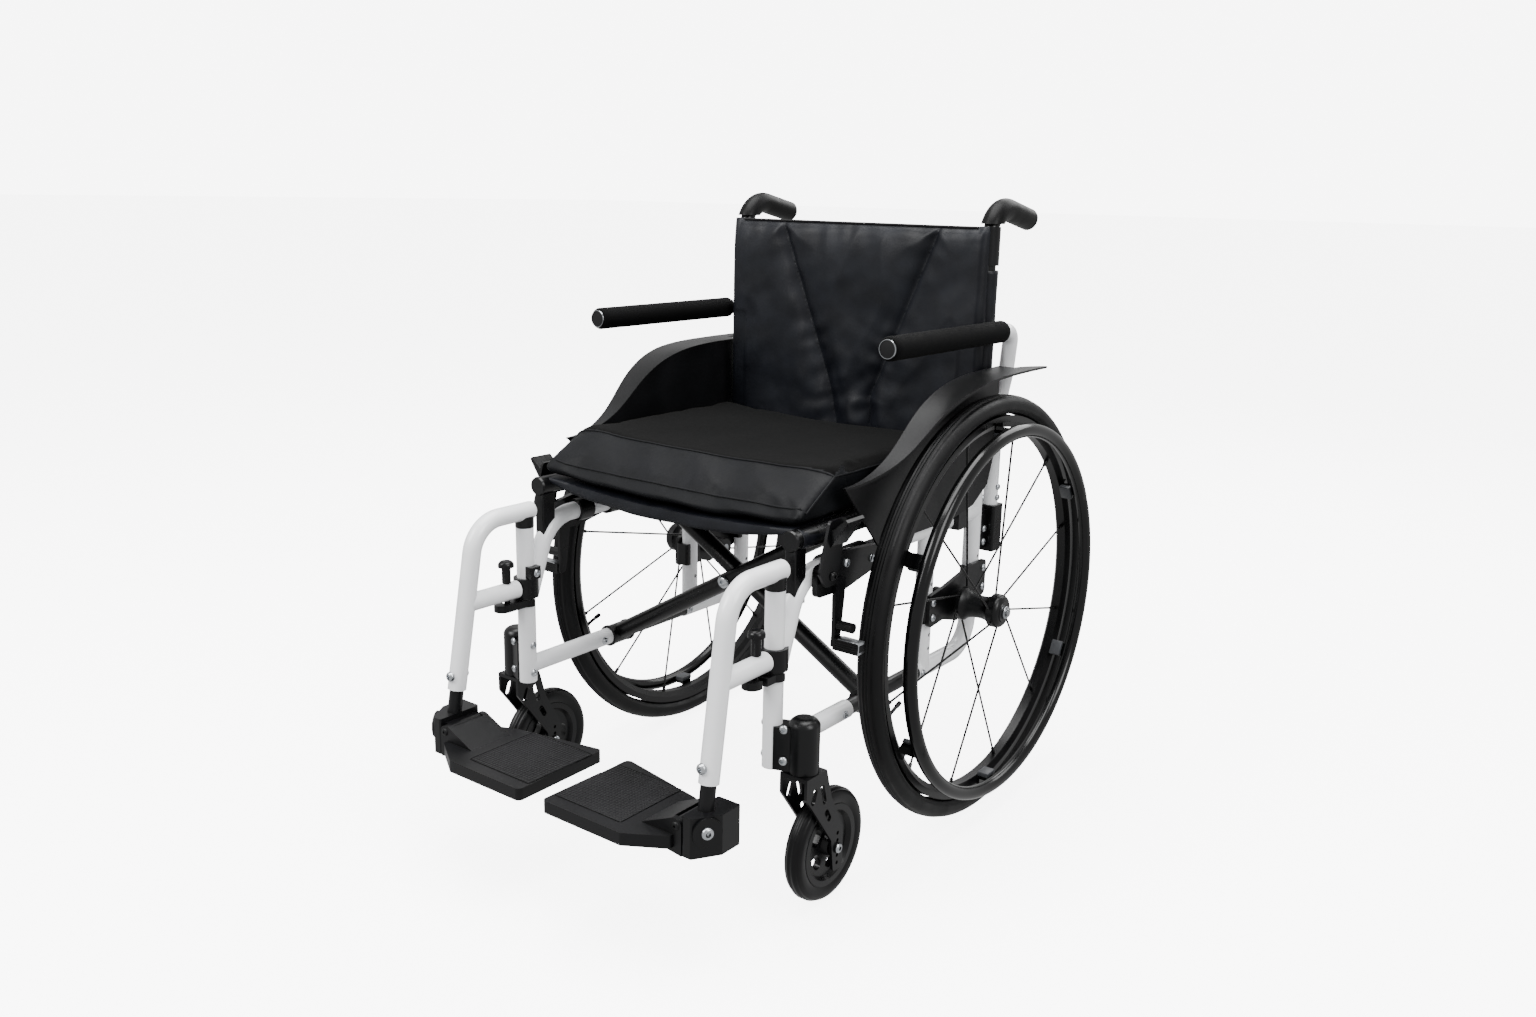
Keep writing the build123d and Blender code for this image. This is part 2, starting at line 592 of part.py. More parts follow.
# ---- Hanger: swings on the front post, with a latch bar ----
hanger_points = [
    (FRAME_X, FRONT_POST_Y + 14, HANGER_TOP_Z),
    (FRAME_X, HANGER_CORNER_Y, HANGER_TOP_Z),
    HANGER_END,
]
low_end = Vector(*HANGER_END)
hanger_down = (low_end - Vector(*hanger_points[1])).normalized()
SADDLE_R = FRAME_R + 5.0
bar_end_y = FRONT_POST_Y - SADDLE_R - GAP
bar_start = Vector(*hanger_points[1]) + hanger_down * ((HANGER_TOP_Z - BAR_Z) / -hanger_down.Z)
stem_bore = FOOT_STEM_R + SLIP
with BuildPart() as hanger:
    add(tube(hanger_points, HANGER_BEND, FRAME_R))
    add(tube([tuple(bar_start), (FRAME_X, bar_end_y, BAR_Z)], 0, FRAME_R))
    add(tube([tuple(low_end - hanger_down * 120), tuple(low_end + hanger_down)], 0, stem_bore),
        mode=Mode.SUBTRACT)
    add(ring((FRAME_X, KNOB_Y, BAR_Z), (0, 0, 1), KNOB_STEM_R + RUN, 0, 60), mode=Mode.SUBTRACT)
    fillet(hanger.faces().sort_by(Axis.Y)[-1].edges(), 3)
write_pair(hanger.part, "hanger_tube")

PLATE_TOP_Z = BAR_Z - FRAME_R - 3.0
with BuildPart() as release_knob:
    add(tube([(FRAME_X, KNOB_Y, PLATE_TOP_Z - 6), (FRAME_X, KNOB_Y, KNOB_TOP_Z - 6)], 0, KNOB_STEM_R))
    add(tube([(FRAME_X, KNOB_Y, BAR_Z + FRAME_R + 1), (FRAME_X, KNOB_Y, KNOB_TOP_Z - 7)], 0, 6.2))
    add(Plane(origin=(FRAME_X, KNOB_Y, KNOB_TOP_Z - 9)).location
        * domed_bolt(KNOB_HEAD_R, 9, hole=False))
write_pair(release_knob.part, "release_knob")

# The stem is bolted in the hanger at the height set for the leg, and carries the hinge block
stem_low = low_end + hanger_down * 34
stem_points = [tuple(low_end - hanger_down * 100), tuple(stem_low)]
hinge_x, hinge_z = FOOT_PIVOT
block_in_x = hinge_x + 9
hinge_front, hinge_rear = FOOT_HINGE_FRONT_Y, FOOT_HINGE_REAR_Y
lug_y = (hinge_front + 8, hinge_rear - 8)
with BuildPart() as footrest_stem:
    add(tube(stem_points, 0, FOOT_STEM_R))
    with BuildSketch(Plane.XY.offset(137)):
        with BuildLine():
            FilletPolyline(
                (block_in_x, hinge_front), (block_in_x + 14, hinge_front),
                (block_in_x + 34, hinge_front + 32), (block_in_x + 34, hinge_rear),
                (block_in_x, hinge_rear),
                radius=3, close=True,
            )
        make_face()
    extrude(amount=50)
    add(block((hinge_x, lug_y[0] + GAP, hinge_z - 8), (block_in_x + 2, lug_y[1] - GAP, hinge_z + 8)))
    add(ring((hinge_x, sum(lug_y) / 2, hinge_z), (0, 1, 0), 8, 0, lug_y[1] - lug_y[0] - 2 * GAP))
    add(ring((hinge_x, -545, hinge_z), (0, 1, 0), FOOT_PIN_R + RUN, 0, 200), mode=Mode.SUBTRACT)
    disc_way = Vector(32, -20, 0).normalized()
    disc_plane = Plane(
        origin=(block_in_x + 24.2, hinge_front + 16.3, hinge_z - 3), z_dir=tuple(disc_way)
    )
    with BuildSketch(disc_plane):
        Circle(18)
    extrude(amount=3.5)
    add(disc_plane.offset(3.4).location * domed_bolt(7, 3.5))
    plug_top = HANGER_TOP_Z - FRAME_R + 6
    plug_post = (FRAME_X, FRONT_POST_Y)
    add(tube([(*plug_post, front_top_z - 45), (*plug_post, plug_top)], 0, FRAME_R - FRAME_WALL - RUN))
    add(tube([(*plug_post, front_top_z + GAP), (*plug_post, plug_top)], 0, FRAME_R + 0.5))
    add(tube(hanger_points, HANGER_BEND, FRAME_R + 0.02), mode=Mode.SUBTRACT)
write_pair(footrest_stem.part, "footrest_stem")

# ---- Footplate: flat tread, then a ramp up to the hinge, which flips up about its pin ----
flat_low_z = FOOT_TOP_Z - FOOT_T
with BuildPart() as footplate:
    with BuildSketch(Plane.XY.offset(flat_low_z)):
        with BuildLine():
            FilletPolyline(
                (FOOT_INNER_X, FOOT_FRONT_Y), (FOOT_OUTER_X, FOOT_FRONT_Y),
                (hinge_x - 4, hinge_front - 6), (hinge_x - 4, hinge_rear + 4),
                (FOOT_OUTER_X + 8, FOOT_REAR_Y - 26), (FOOT_INNER_X + 3, FOOT_REAR_Y),
                radius=7, close=True,
            )
        make_face()
    extrude(amount=FOOT_T)
    with BuildSketch(Plane.XZ.offset(-hinge_rear)):
        with BuildLine():
            # Round above the pin, so that the plate's edge clears the hinge block as it flips up
            edge_r = block_in_x - GAP - hinge_x
            Polyline(
                (hinge_x, hinge_z + edge_r), (hinge_x - 6, hinge_z + edge_r), (FOOT_OUTER_X, FOOT_TOP_Z),
                (FOOT_OUTER_X, flat_low_z), (block_in_x - GAP, flat_low_z - 8), (block_in_x - GAP, hinge_z),
            )
            CenterArc((hinge_x, hinge_z), edge_r, 0, 90)
        make_face()
    extrude(amount=hinge_rear - hinge_front)
    with BuildSketch(Plane.XY.offset(FOOT_TOP_Z)):
        with Locations((78, -540)):
            RectangleRounded(112, 112, 4)
    extrude(amount=-1.2, mode=Mode.SUBTRACT)
    with BuildSketch(Plane.XY.offset(FOOT_TOP_Z - 1.2)):
        with Locations((78, -540)):
            with GridLocations(0, 8, 1, 13):
                Rectangle(104, 3)
    extrude(amount=1)
    knuckle_low = (hinge_x - 9, lug_y[0], hinge_z - 30)
    knuckle_high = (block_in_x + 20, lug_y[1], hinge_z + 30)
    add(block(knuckle_low, knuckle_high), mode=Mode.SUBTRACT)
    add(ring((hinge_x, -545, hinge_z), (0, 1, 0), FOOT_PIN_R, 0, hinge_rear - hinge_front + 1))
    add(Plane(origin=(hinge_x, hinge_front + 1, hinge_z), z_dir=(0, -1, 0)).location * domed_bolt())
write_pair(footplate.part, "footplate")

# ---- Armrest ----
arm_points = [
    (ARM_X, ARM_FRONT_Y + 6, ARM_Z), (ARM_X, 92, ARM_Z),
    (ARM_POST_X + 14, 106, 625), (ARM_POST_X, ARM_POST_Y, 560),
    (ARM_POST_X, ARM_POST_Y, SOCKET_LOW_Z + 3),
]
arm_bends = [24, 60, 60]
armrest_tube = tube(arm_points, arm_bends, ARM_TUBE_R, ARM_TUBE_R - THIN_WALL)
write_pair(armrest_tube, "armrest_tube")

with BuildPart() as armrest_pad:
    add(tube([(ARM_X, ARM_FRONT_Y, ARM_Z), (ARM_X, ARM_REAR_Y, ARM_Z)], 0, ARM_PAD_R))
    fillet(armrest_pad.edges().filter_by(GeomType.CIRCLE), 3)
    add(tube([(ARM_X, ARM_FRONT_Y + 5.9, ARM_Z), (ARM_X, ARM_REAR_Y + 5, ARM_Z)], 0, ARM_TUBE_R),
        mode=Mode.SUBTRACT)
write_pair(armrest_pad.part, "armrest_pad")


# ---- Brake: a lever that carries the shoe's arm towards the tyre ----
mount_x = FRAME_X + FRAME_R + 1.5
MOUNT_T = 8.0
lever_pivot = (-345.0, 425.0)
arm_pivot = (-318.0, 408.0)
PIVOT_R = 4.0
lever_x = mount_x + MOUNT_T + GAP
with BuildPart() as brake_lever:
    with BuildSketch(Plane.YZ.offset(lever_x + 6)):
        with BuildLine():
            FilletPolyline(
                (-353, 495), (-316, 495), (-329, 440), (-336, 413), (-358, 413), (-372, 432),
                radius=6, close=True,
            )
        make_face()
    extrude(amount=4)
    with BuildSketch(Plane.XZ.offset(316)):
        with BuildLine():
            Polyline(
                (lever_x + 6, 462), (lever_x + 10, 462), (lever_x + 34, 497),
                (lever_x + 31, 500), (lever_x + 6, 478), close=True,
            )
        make_face()
    extrude(amount=36)
    add(tube([(lever_x, *lever_pivot), (lever_x + 7, *lever_pivot)], 0, 9))
    add(tube([(lever_x - MOUNT_T, *lever_pivot), (lever_x + 1, *lever_pivot)], 0, PIVOT_R))
    add(Plane(origin=(lever_x + 9.8, *lever_pivot), z_dir=(1, 0, 0)).location * domed_bolt(6, 4))
write_pair(brake_lever.part, "brake_lever")

SHOE = ((246.0, -332.0, 326.0), (281.0, -317.5, 341.0))
with BuildPart() as brake_arm:
    with BuildSketch(Plane.YZ.offset(lever_x)):
        with BuildLine():
            FilletPolyline(
                (-328, 416), (-308, 416), (-309, 392), (-315, 345), (-319, 328), (-331, 328),
                (-329, 350), (-330, 392),
                radius=3, close=True,
            )
        make_face()
    extrude(amount=5)
    add(tube([(lever_x - MOUNT_T, *arm_pivot), (lever_x + 1, *arm_pivot)], 0, PIVOT_R))
    add(tube([(lever_x + 3, -322, 356), (lever_x + 28, -322, 356)], 0, 6.5))
    shoe_low, shoe_high = SHOE
    add(block((lever_x + 4, shoe_low[1], shoe_low[2]), shoe_high))
    for k in range(4):
        groove_z = shoe_low[2] + 3 + 3 * k
        add(block((lever_x + 8, shoe_low[1] - 1, groove_z), (shoe_high[0] + 1, shoe_low[1] + 0.8,
                                                             groove_z + 1.2)), mode=Mode.SUBTRACT)
        add(block((lever_x + 8, shoe_high[1] - 0.8, groove_z), (shoe_high[0] + 1, shoe_high[1] + 1,
                                                                groove_z + 1.2)), mode=Mode.SUBTRACT)
write_pair(brake_arm.part, "brake_arm")


# ---- Brackets on a side frame, as separate pieces ----
def frame_brackets(brace_y):
    """The clamps, sockets and seats bolted to a side frame. brace_y is its brace tube's place."""
    with BuildPart() as made:
        # Saddle on the front post, and the plate that the hanger's pin drops into
        add(ring((FRAME_X, FRONT_POST_Y, BAR_Z), (0, 0, 1), SADDLE_R, 0, 28))
        with BuildSketch(Plane.XY.offset(PLATE_TOP_Z - 10)):
            with Locations((FRAME_X, FRONT_POST_Y)):
                Circle(SADDLE_R)
            with Locations((FRAME_X, (FRONT_POST_Y + KNOB_Y) / 2 - 2)):
                SlotOverall(2 * (FRONT_POST_Y - KNOB_Y), 25, rotation=90)
            with Locations((FRAME_X, FRONT_POST_Y)):
                Rectangle(60, 60, align=(Align.CENTER, Align.MIN), mode=Mode.SUBTRACT)
        extrude(amount=10)
        with BuildSketch(Plane.XY.offset(PLATE_TOP_Z - 15)):
            with BuildLine():
                reach, slot_turns = FRONT_POST_Y - KNOB_Y, (-98, -34)
                slot_in, slot_out = reach - KNOB_STEM_R - GAP, reach + KNOB_STEM_R + GAP
                CenterArc((FRAME_X, FRONT_POST_Y), slot_out, slot_turns[0], slot_turns[1] - slot_turns[0])
                CenterArc((FRAME_X, FRONT_POST_Y), slot_in, slot_turns[0], slot_turns[1] - slot_turns[0])
                for turn in slot_turns:
                    way = Vector(cos(radians(turn)), sin(radians(turn)))
                    Line(
                        Vector(FRAME_X, FRONT_POST_Y) + way * slot_in,
                        Vector(FRAME_X, FRONT_POST_Y) + way * slot_out,
                    )
            make_face()
        extrude(amount=20, mode=Mode.SUBTRACT)
        # Stop block with its bolt on the inner side of the front post
        add(block((FRAME_X - 22, FRONT_POST_Y - 9, 348), (FRAME_X - 8, FRONT_POST_Y + 9, 365), 2))
        add(ring((FRAME_X, FRONT_POST_Y, 340), (0, 0, 1), FRAME_R, 0, 100), mode=Mode.SUBTRACT)
        # Seats for the seat rail on the top rail
        add(block((FRAME_X - 8, -389, 392), (FRAME_X + 8, -366, SEAT_RAIL_Z - 6), 2))
        add(block((FRAME_X - 8, -16, TOP_RAIL_Z), (FRAME_X + 8, 10, SEAT_RAIL_Z - 6), 2))
        # Clips that hold the side guard
        for y in (-190, 0):
            add(block((FRAME_X + 6, y - 13, 414), (GUARD_X - 0.1, y + 13, 466)))
        seat_centre = (FRAME_X, (SEAT_FRONT_Y + SEAT_REAR_Y) / 2, SEAT_RAIL_Z)
        add(ring(seat_centre, (0, 1, 0), CAP_R + GAP, 0, 480), mode=Mode.SUBTRACT)
        # Brake mount, clamped round the top rail
        with BuildSketch(Plane.YZ.offset(mount_x)):
            with BuildLine():
                FilletPolyline(
                    (-362, 398), (-362, 436), (-300, 446), (-228, 440), (-228, 410), (-300, 396),
                    radius=8, close=True,
                )
            make_face()
        extrude(amount=MOUNT_T)
        for y in (-308, -246):
            add(ring((FRAME_X, y, TOP_RAIL_Z), (0, 1, 0), FRAME_R + 4, 0, 26))
        # Armrest socket and its web to the rear post
        add(block((ARM_POST_X - 15, ARM_POST_Y - 14, SOCKET_LOW_Z),
                  (ARM_POST_X + 15, ARM_POST_Y + 15, SOCKET_TOP_Z), 4))
        add(block((FRAME_X - 8, REAR_POST_Y + 8, SOCKET_LOW_Z + 6),
                  (FRAME_X + 8, ARM_POST_Y - 12, SOCKET_TOP_Z - 6)))
        with Locations((ARM_POST_X, ARM_POST_Y, SOCKET_LOW_Z + 2.5)):
            Cylinder(ARM_TUBE_R + RUN, 100, align=UP, mode=Mode.SUBTRACT)
        # Everything is cut to the welded tubes that it sits on
        for points, bend in frame_routes:
            add(tube(points, bend, FRAME_R + 0.02), mode=Mode.SUBTRACT)
        for pivot in (lever_pivot, arm_pivot):
            add(ring((mount_x, *pivot), (1, 0, 0), PIVOT_R + RUN, 0, 60), mode=Mode.SUBTRACT)
        # Clamp sleeve below the push handle
        post = (FRAME_X, REAR_POST_Y, (CLAMP_LOW_Z + CLAMP_TOP_Z) / 2)
        add(ring(post, (0, 0, 1), 15, BACK_TUBE_R, CLAMP_TOP_Z - CLAMP_LOW_Z))
        # Collars that keep the brace's hinge in place along the lower rail
        for way in (-1, 1):
            collar = (FRAME_X, brace_y + way * (HINGE_LEN / 2 + GAP + 2), LOWER_RAIL_Z)
            add(ring(collar, (0, 1, 0), 16, INNER_R, 4))
    return made.part


write_pair(
    frame_brackets(REAR_BRACE_Y),
    "frame_brackets",
    mirror(frame_brackets(FRONT_BRACE_Y), about=Plane.YZ),
)

# ---- Screw heads on a side frame ----
inward, outward = (-1, 0, 0), (1, 0, 0)
clamp_way = to_housing.normalized()
clamp_face = Vector(FRAME_X, FRONT_POST_Y, 0) + clamp_way * 18
clamp_side = Vector(clamp_way.Y, -clamp_way.X, 0)
plate_face = plate_x + PLATE_T
places = []
for z in (207, 248):
    places.append(((FRAME_X - FRAME_R + 0.9, FRONT_POST_Y, z), inward))
    places.append((tuple(clamp_face + clamp_side * 13.5 + Vector(0, 0, z)), tuple(clamp_side)))
places += [((plate_face, AXLE_POST_Y - 5, z), outward) for z in (298, 320)]
places += [((plate_face, REAR_POST_Y + 6, z), outward) for z in (311, 340)]
places += [((FRAME_X + 8, REAR_POST_Y + 21, z), outward) for z in (375, 395)]
places += [((mount_x + MOUNT_T, y, z), outward) for y, z in ((-242, 424), (-300, 430))]
for way, direction in ((-1, inward), (1, outward)):
    side_x = FRAME_X + way * (FRAME_R - 0.9)
    places.append(((side_x, STUB_END_Y - 18, LOWER_RAIL_Z), direction))
    places.append(((side_x, REAR_STUB_Y + 6, LOWER_RAIL_Z), direction))
places.append(((FRAME_X - 22, FRONT_POST_Y, 356.5), inward))
places.append(((FRAME_X + 7, REAR_POST_Y + 9.3, 444), (0.6, 0.8, 0)))
with BuildPart() as frame_fasteners:
    add(bolts(places))
    for points, bend in frame_routes:
        add(tube(points, bend, FRAME_R + 0.02), mode=Mode.SUBTRACT)
write_pair(frame_fasteners.part, "frame_fasteners")

# ---- Soft parts, as plain closed solids ----
with BuildPart() as cushion:
    with BuildSketch(Plane.YZ):
        with BuildLine():
            Polyline(
                (CUSHION_FRONT_Y, CUSHION_LOW_Z), (CUSHION_EDGE_Y, CUSHION_TOP_Z),
                (CUSHION_REAR_Y, CUSHION_TOP_Z), (CUSHION_REAR_Y, CUSHION_LOW_Z), close=True,
            )
        make_face()
    extrude(amount=CUSHION_X, both=True)
    fillet(cushion.edges().filter_by(Axis.X), 8)
write(cushion.part, "cushion")

sling_low_z = SEAT_RAIL_Z + FRAME_R + GAP
sling = block((-FRAME_X - 9, SEAT_FRONT_Y + 4, sling_low_z), (FRAME_X + 9, SEAT_REAR_Y - 4, sling_low_z + SLING_T))
write(sling, "seat_sling")

with BuildPart() as backrest:
    shoulder_x = FRAME_X - 15 - 1.5
    with BuildSketch(Plane.XZ.offset(-BACKREST_Y)):
        with BuildLine():
            Polyline(
                (-BACKREST_X, BACKREST_LOW_Z), (BACKREST_X, BACKREST_LOW_Z),
                (BACKREST_X, CLAMP_LOW_Z - 2), (shoulder_x, CLAMP_LOW_Z - 2),
                (shoulder_x, BACK_TOP_Z), (-shoulder_x, BACK_TOP_Z),
                (-shoulder_x, CLAMP_LOW_Z - 2), (-BACKREST_X, CLAMP_LOW_Z - 2), close=True,
            )
        make_face()
    extrude(amount=-BACKREST_T)
write(backrest.part, "backrest")
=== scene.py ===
"""The visual model of a folding self-propelled wheelchair, built round its CAD frame.

Lengths are metres. +Z is up, the chair faces -Y and +X is the occupant's left.
"""

import logging
from dataclasses import dataclass, field
from enum import Enum
from math import cos, exp, pi, radians, sin

import bmesh
import bpy
from mathutils import Matrix, Vector, noise
from mathutils.bvhtree import BVHTree


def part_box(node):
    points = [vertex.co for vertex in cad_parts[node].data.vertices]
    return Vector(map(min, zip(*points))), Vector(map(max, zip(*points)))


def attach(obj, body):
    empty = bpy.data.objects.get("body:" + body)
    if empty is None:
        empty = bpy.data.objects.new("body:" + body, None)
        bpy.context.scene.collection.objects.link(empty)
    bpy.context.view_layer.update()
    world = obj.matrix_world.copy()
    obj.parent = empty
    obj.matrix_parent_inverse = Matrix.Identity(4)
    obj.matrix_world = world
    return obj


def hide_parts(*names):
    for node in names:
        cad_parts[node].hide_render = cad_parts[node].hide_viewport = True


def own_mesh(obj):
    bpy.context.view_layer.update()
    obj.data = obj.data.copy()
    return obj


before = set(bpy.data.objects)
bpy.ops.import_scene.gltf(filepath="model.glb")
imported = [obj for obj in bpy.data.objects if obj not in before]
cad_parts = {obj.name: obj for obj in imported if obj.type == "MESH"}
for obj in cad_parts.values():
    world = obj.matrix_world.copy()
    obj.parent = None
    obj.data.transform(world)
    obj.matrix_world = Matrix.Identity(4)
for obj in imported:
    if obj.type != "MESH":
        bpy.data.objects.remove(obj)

log = logging.getLogger("wheelchair")
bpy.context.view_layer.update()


# ---- Small shared tools ----
class Side(Enum):
    """A side of the chair, as the sign of its x."""

    LEFT = 1
    RIGHT = -1

    @property
    def word(self) -> str:
        """The side's word in node and body names."""
        return self.name.lower()

    def node(self, name: str) -> str:
        """The name of this side's node or body."""
        return f"{self.word}_{name}"


def linear(code: str) -> tuple[float, float, float, float]:
    """Turn an sRGB hex colour into linear RGBA.

    Args:
        code: The colour as six hex digits.

    Returns:
        Red, green, blue and alpha for a shader socket.
    """
    parts = [int(code[k : k + 2], 16) / 255 for k in (0, 2, 4)]
    return (*[c / 12.92 if c <= 0.04045 else ((c + 0.055) / 1.055) ** 2.4 for c in parts], 1.0)


def add_node(tree: bpy.types.NodeTree, kind: str, settings: dict, links: dict) -> bpy.types.Node:
    """Add one shader node.

    Args:
        tree: The material's node tree.
        kind: The node's type, such as ShaderNodeTexNoise.
        settings: Attribute or input values by name.
        links: Sockets to join to the node's inputs, by input name or number.

    Returns:
        The new node.
    """
    made = tree.nodes.new(kind)
    for name, value in settings.items():
        if isinstance(name, int) or name in made.inputs:
            made.inputs[name].default_value = value
        else:
            setattr(made, name, value)
    for name, socket in links.items():
        tree.links.new(socket, made.inputs[name])
    return made


def middle(node: str) -> Vector:
    """The centre of a CAD node's box at rest."""
    low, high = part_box(node)
    return (low + high) / 2


# ---- Finishes ----
@dataclass(frozen=True)
class Finish:
    """What every finish has: a name, its colours and its gloss.

    The colour drifts between two near shades, and the roughness between two values.
    """

    name: str
    colour: str
    shade: str
    gloss: tuple[float, float] = (0.4, 0.5)
    metallic: float = 0.0
    ior: float = 1.5
    patch_mm: float = 60.0
    coat: float = 0.0
    sheen: float = 0.0
    specular: float = 0.5

    def material(self) -> bpy.types.Material:
        """Build the finish's material once, and give it again when asked.

        Returns:
            The material.
        """
        known = bpy.data.materials.get(self.name)
        if known:
            return known
        made = bpy.data.materials.new(self.name)
        made.use_nodes = True
        tree = made.node_tree
        shader = tree.nodes["Principled BSDF"]
        shader.inputs["Metallic"].default_value = self.metallic
        if not self.metallic:
            shader.inputs["IOR"].default_value = self.ior
            shader.inputs["Specular IOR Level"].default_value = self.specular
        shader.inputs["Coat Weight"].default_value = self.coat
        shader.inputs["Coat Roughness"].default_value = 0.08
        shader.inputs["Sheen Weight"].default_value = self.sheen
        shader.inputs["Sheen Roughness"].default_value = 0.45
        place = add_node(tree, "ShaderNodeTexCoord", {}, {}).outputs["Object"]
        drift = add_node(
            tree, "ShaderNodeTexNoise", {"Scale": 1000 / self.patch_mm, "Detail": 4.0}, {"Vector": place}
        ).outputs[0]
        shades = add_node(tree, "ShaderNodeValToRGB", {}, {"Fac": drift})
        shades.color_ramp.elements[0].position, shades.color_ramp.elements[1].position = 0.35, 0.68
        shades.color_ramp.elements[0].color = linear(self.shade)
        shades.color_ramp.elements[1].color = linear(self.colour)
        tree.links.new(shades.outputs[0], shader.inputs["Base Color"])
        polish = add_node(
            tree,
            "ShaderNodeMapRange",
            {"From Min": 0.3, "From Max": 0.7, "To Min": self.gloss[0], "To Max": self.gloss[1]},
            {"Value": drift},
        )
        tree.links.new(polish.outputs[0], shader.inputs["Roughness"])
        self.relief(tree, shader, place)
        return made

    def relief(self, tree: bpy.types.NodeTree, shader: bpy.types.Node, place: bpy.types.NodeSocket) -> None:
        """Add the finish's bump. A plain finish has none."""

    def bump(
        self, tree: bpy.types.NodeTree, shader: bpy.types.Node, height: bpy.types.NodeSocket, depth_mm: float,
        strength: float,
    ) -> None:
        """Send a height to the shader's normal.

        Args:
            tree: The material's node tree.
            shader: The material's shader.
            height: The height, from 0 to 1.
            depth_mm: How deep the full height is.
            strength: The bump's strength.
        """
        made = add_node(
            tree, "ShaderNodeBump", {"Distance": depth_mm / 1000, "Strength": strength}, {"Height": height}
        )
        tree.links.new(made.outputs[0], shader.inputs["Normal"])


@dataclass(frozen=True)
class GrainFinish(Finish):
    """A skin with an even fine grain: powder coat, moulded plastic, rubber or foam."""

    grain_mm: float = 1.0
    grain_deep_mm: float = 0.05
    grain_strength: float = 0.4

    def relief(self, tree: bpy.types.NodeTree, shader: bpy.types.Node, place: bpy.types.NodeSocket) -> None:
        """Add the grain, from its size in millimetres."""
        grain = add_node(
            tree,
            "ShaderNodeTexNoise",
            {"Scale": 1000 / self.grain_mm, "Detail": 2.0, "Roughness": 0.55},
            {"Vector": place},
        )
        self.bump(tree, shader, grain.outputs[0], self.grain_deep_mm, self.grain_strength)


@dataclass(frozen=True)
class BrushedFinish(Finish):
    """Metal with fine lines along one axis from drawing or turning."""

    line_mm: float = 0.8
    along: str = "X"

    def relief(self, tree: bpy.types.NodeTree, shader: bpy.types.Node, place: bpy.types.NodeSocket) -> None:
        """Add the lines, stretched twenty times along their axis."""
        across = 1000 / self.line_mm
        scale = [across / 20 if axis == self.along else across for axis in "XYZ"]
        stretched = add_node(tree, "ShaderNodeMapping", {"Scale": scale}, {"Vector": place})
        lines = add_node(
            tree, "ShaderNodeTexNoise", {"Scale": 1.0, "Detail": 3.0}, {"Vector": stretched.outputs[0]}
        )
        self.bump(tree, shader, lines.outputs[0], 0.03, 0.25)


@dataclass(frozen=True)
class WovenFinish(Finish):
    """A plain-weave cloth. Its two thread directions are axes of the chair."""

    thread_mm: float = 1.2
    threads: tuple[str, str] = ("X", "Z")
    deep_mm: float = 0.12
    weave_strength: float = 0.5

    def relief(self, tree: bpy.types.NodeTree, shader: bpy.types.Node, place: bpy.types.NodeSocket) -> None:
        """Add warp and weft, as two crossed waves, over slubs of uneven yarn."""
        waves = [
            add_node(
                tree,
                "ShaderNodeTexWave",
                {
                    "wave_type": "BANDS",
                    "bands_direction": axis,
                    # Bands repeat every pi / (10 x scale) metres
                    "Scale": pi / 10 * 1000 / self.thread_mm,
                    "Distortion": 0.4,
                    "Detail": 1.0,
                },
                {"Vector": place},
            ).outputs["Fac"]
            for axis in self.threads
        ]
        cloth = add_node(tree, "ShaderNodeMath", {"operation": "MULTIPLY"}, {0: waves[0], 1: waves[1]})
        slubs = add_node(tree, "ShaderNodeTexNoise", {"Scale": 1000 / 7, "Detail": 3.0}, {"Vector": place})
        uneven = add_node(
            tree, "ShaderNodeMath", {"operation": "ADD"}, {0: cloth.outputs[0], 1: slubs.outputs[0]}
        )
        self.bump(tree, shader, uneven.outputs[0], self.deep_mm, self.weave_strength)


# White polyester powder coat on aluminium tube: glossy, with a faint orange peel.
WHITE_POWDER = GrainFinish(
    "white_gloss_powder_coat", "F4F5F6", "ECEDEF", (0.18, 0.26), coat=0.3, grain_mm=2.5,
    grain_deep_mm=0.03, grain_strength=0.12,
)
# Black satin powder coat: soft highlights, a fine sandy peel.
BLACK_POWDER = GrainFinish(
    "black_satin_powder_coat", "070708", "040405", (0.24, 0.34), grain_mm=1.6, grain_deep_mm=0.04,
    grain_strength=0.2, specular=0.3,
)
# Black anodised aluminium: brackets and forks, a dark oxide skin with drawn lines.
BLACK_ANODISED = BrushedFinish(
    "black_anodised_aluminium", "08080A", "050506", (0.26, 0.38), line_mm=0.8, along="X", specular=0.3
)
# Gloss black powder coat on the handrims, smooth for the hands.
HANDRIM_BLACK = GrainFinish(
    "gloss_black_handrim_coat", "050506", "030303", (0.14, 0.2), grain_mm=3.0,
    grain_deep_mm=0.02, grain_strength=0.08, specular=0.32,
)
# Polyurethane tyre: matte with a dusty grain.
TYRE_RUBBER = GrainFinish(
    "matte_tyre_rubber", "080809", "040405", (0.42, 0.56), grain_mm=1.4, grain_deep_mm=0.06,
    grain_strength=0.3, patch_mm=25, specular=0.2,
)
# Solid caster tyre: harder and a little shinier.
CASTER_RUBBER = GrainFinish(
    "hard_caster_polyurethane", "080809", "040405", (0.3, 0.42), grain_mm=1.2, grain_deep_mm=0.04,
    grain_strength=0.2, patch_mm=20, specular=0.22,
)
# Soft moulded rubber of the hand grips.
GRIP_RUBBER = GrainFinish(
    "moulded_grip_rubber", "050506", "030303", (0.36, 0.48), grain_mm=1.2, grain_deep_mm=0.05,
    grain_strength=0.3, patch_mm=20, specular=0.13,
)
# Spark-eroded polypropylene: guards and footplates with an even leathery grain.
MOULDED_PLASTIC = GrainFinish(
    "grained_black_polypropylene", "0B0B0D", "070708", (0.34, 0.46), grain_mm=1.5, grain_deep_mm=0.07,
    grain_strength=0.35, patch_mm=80, specular=0.26,
)
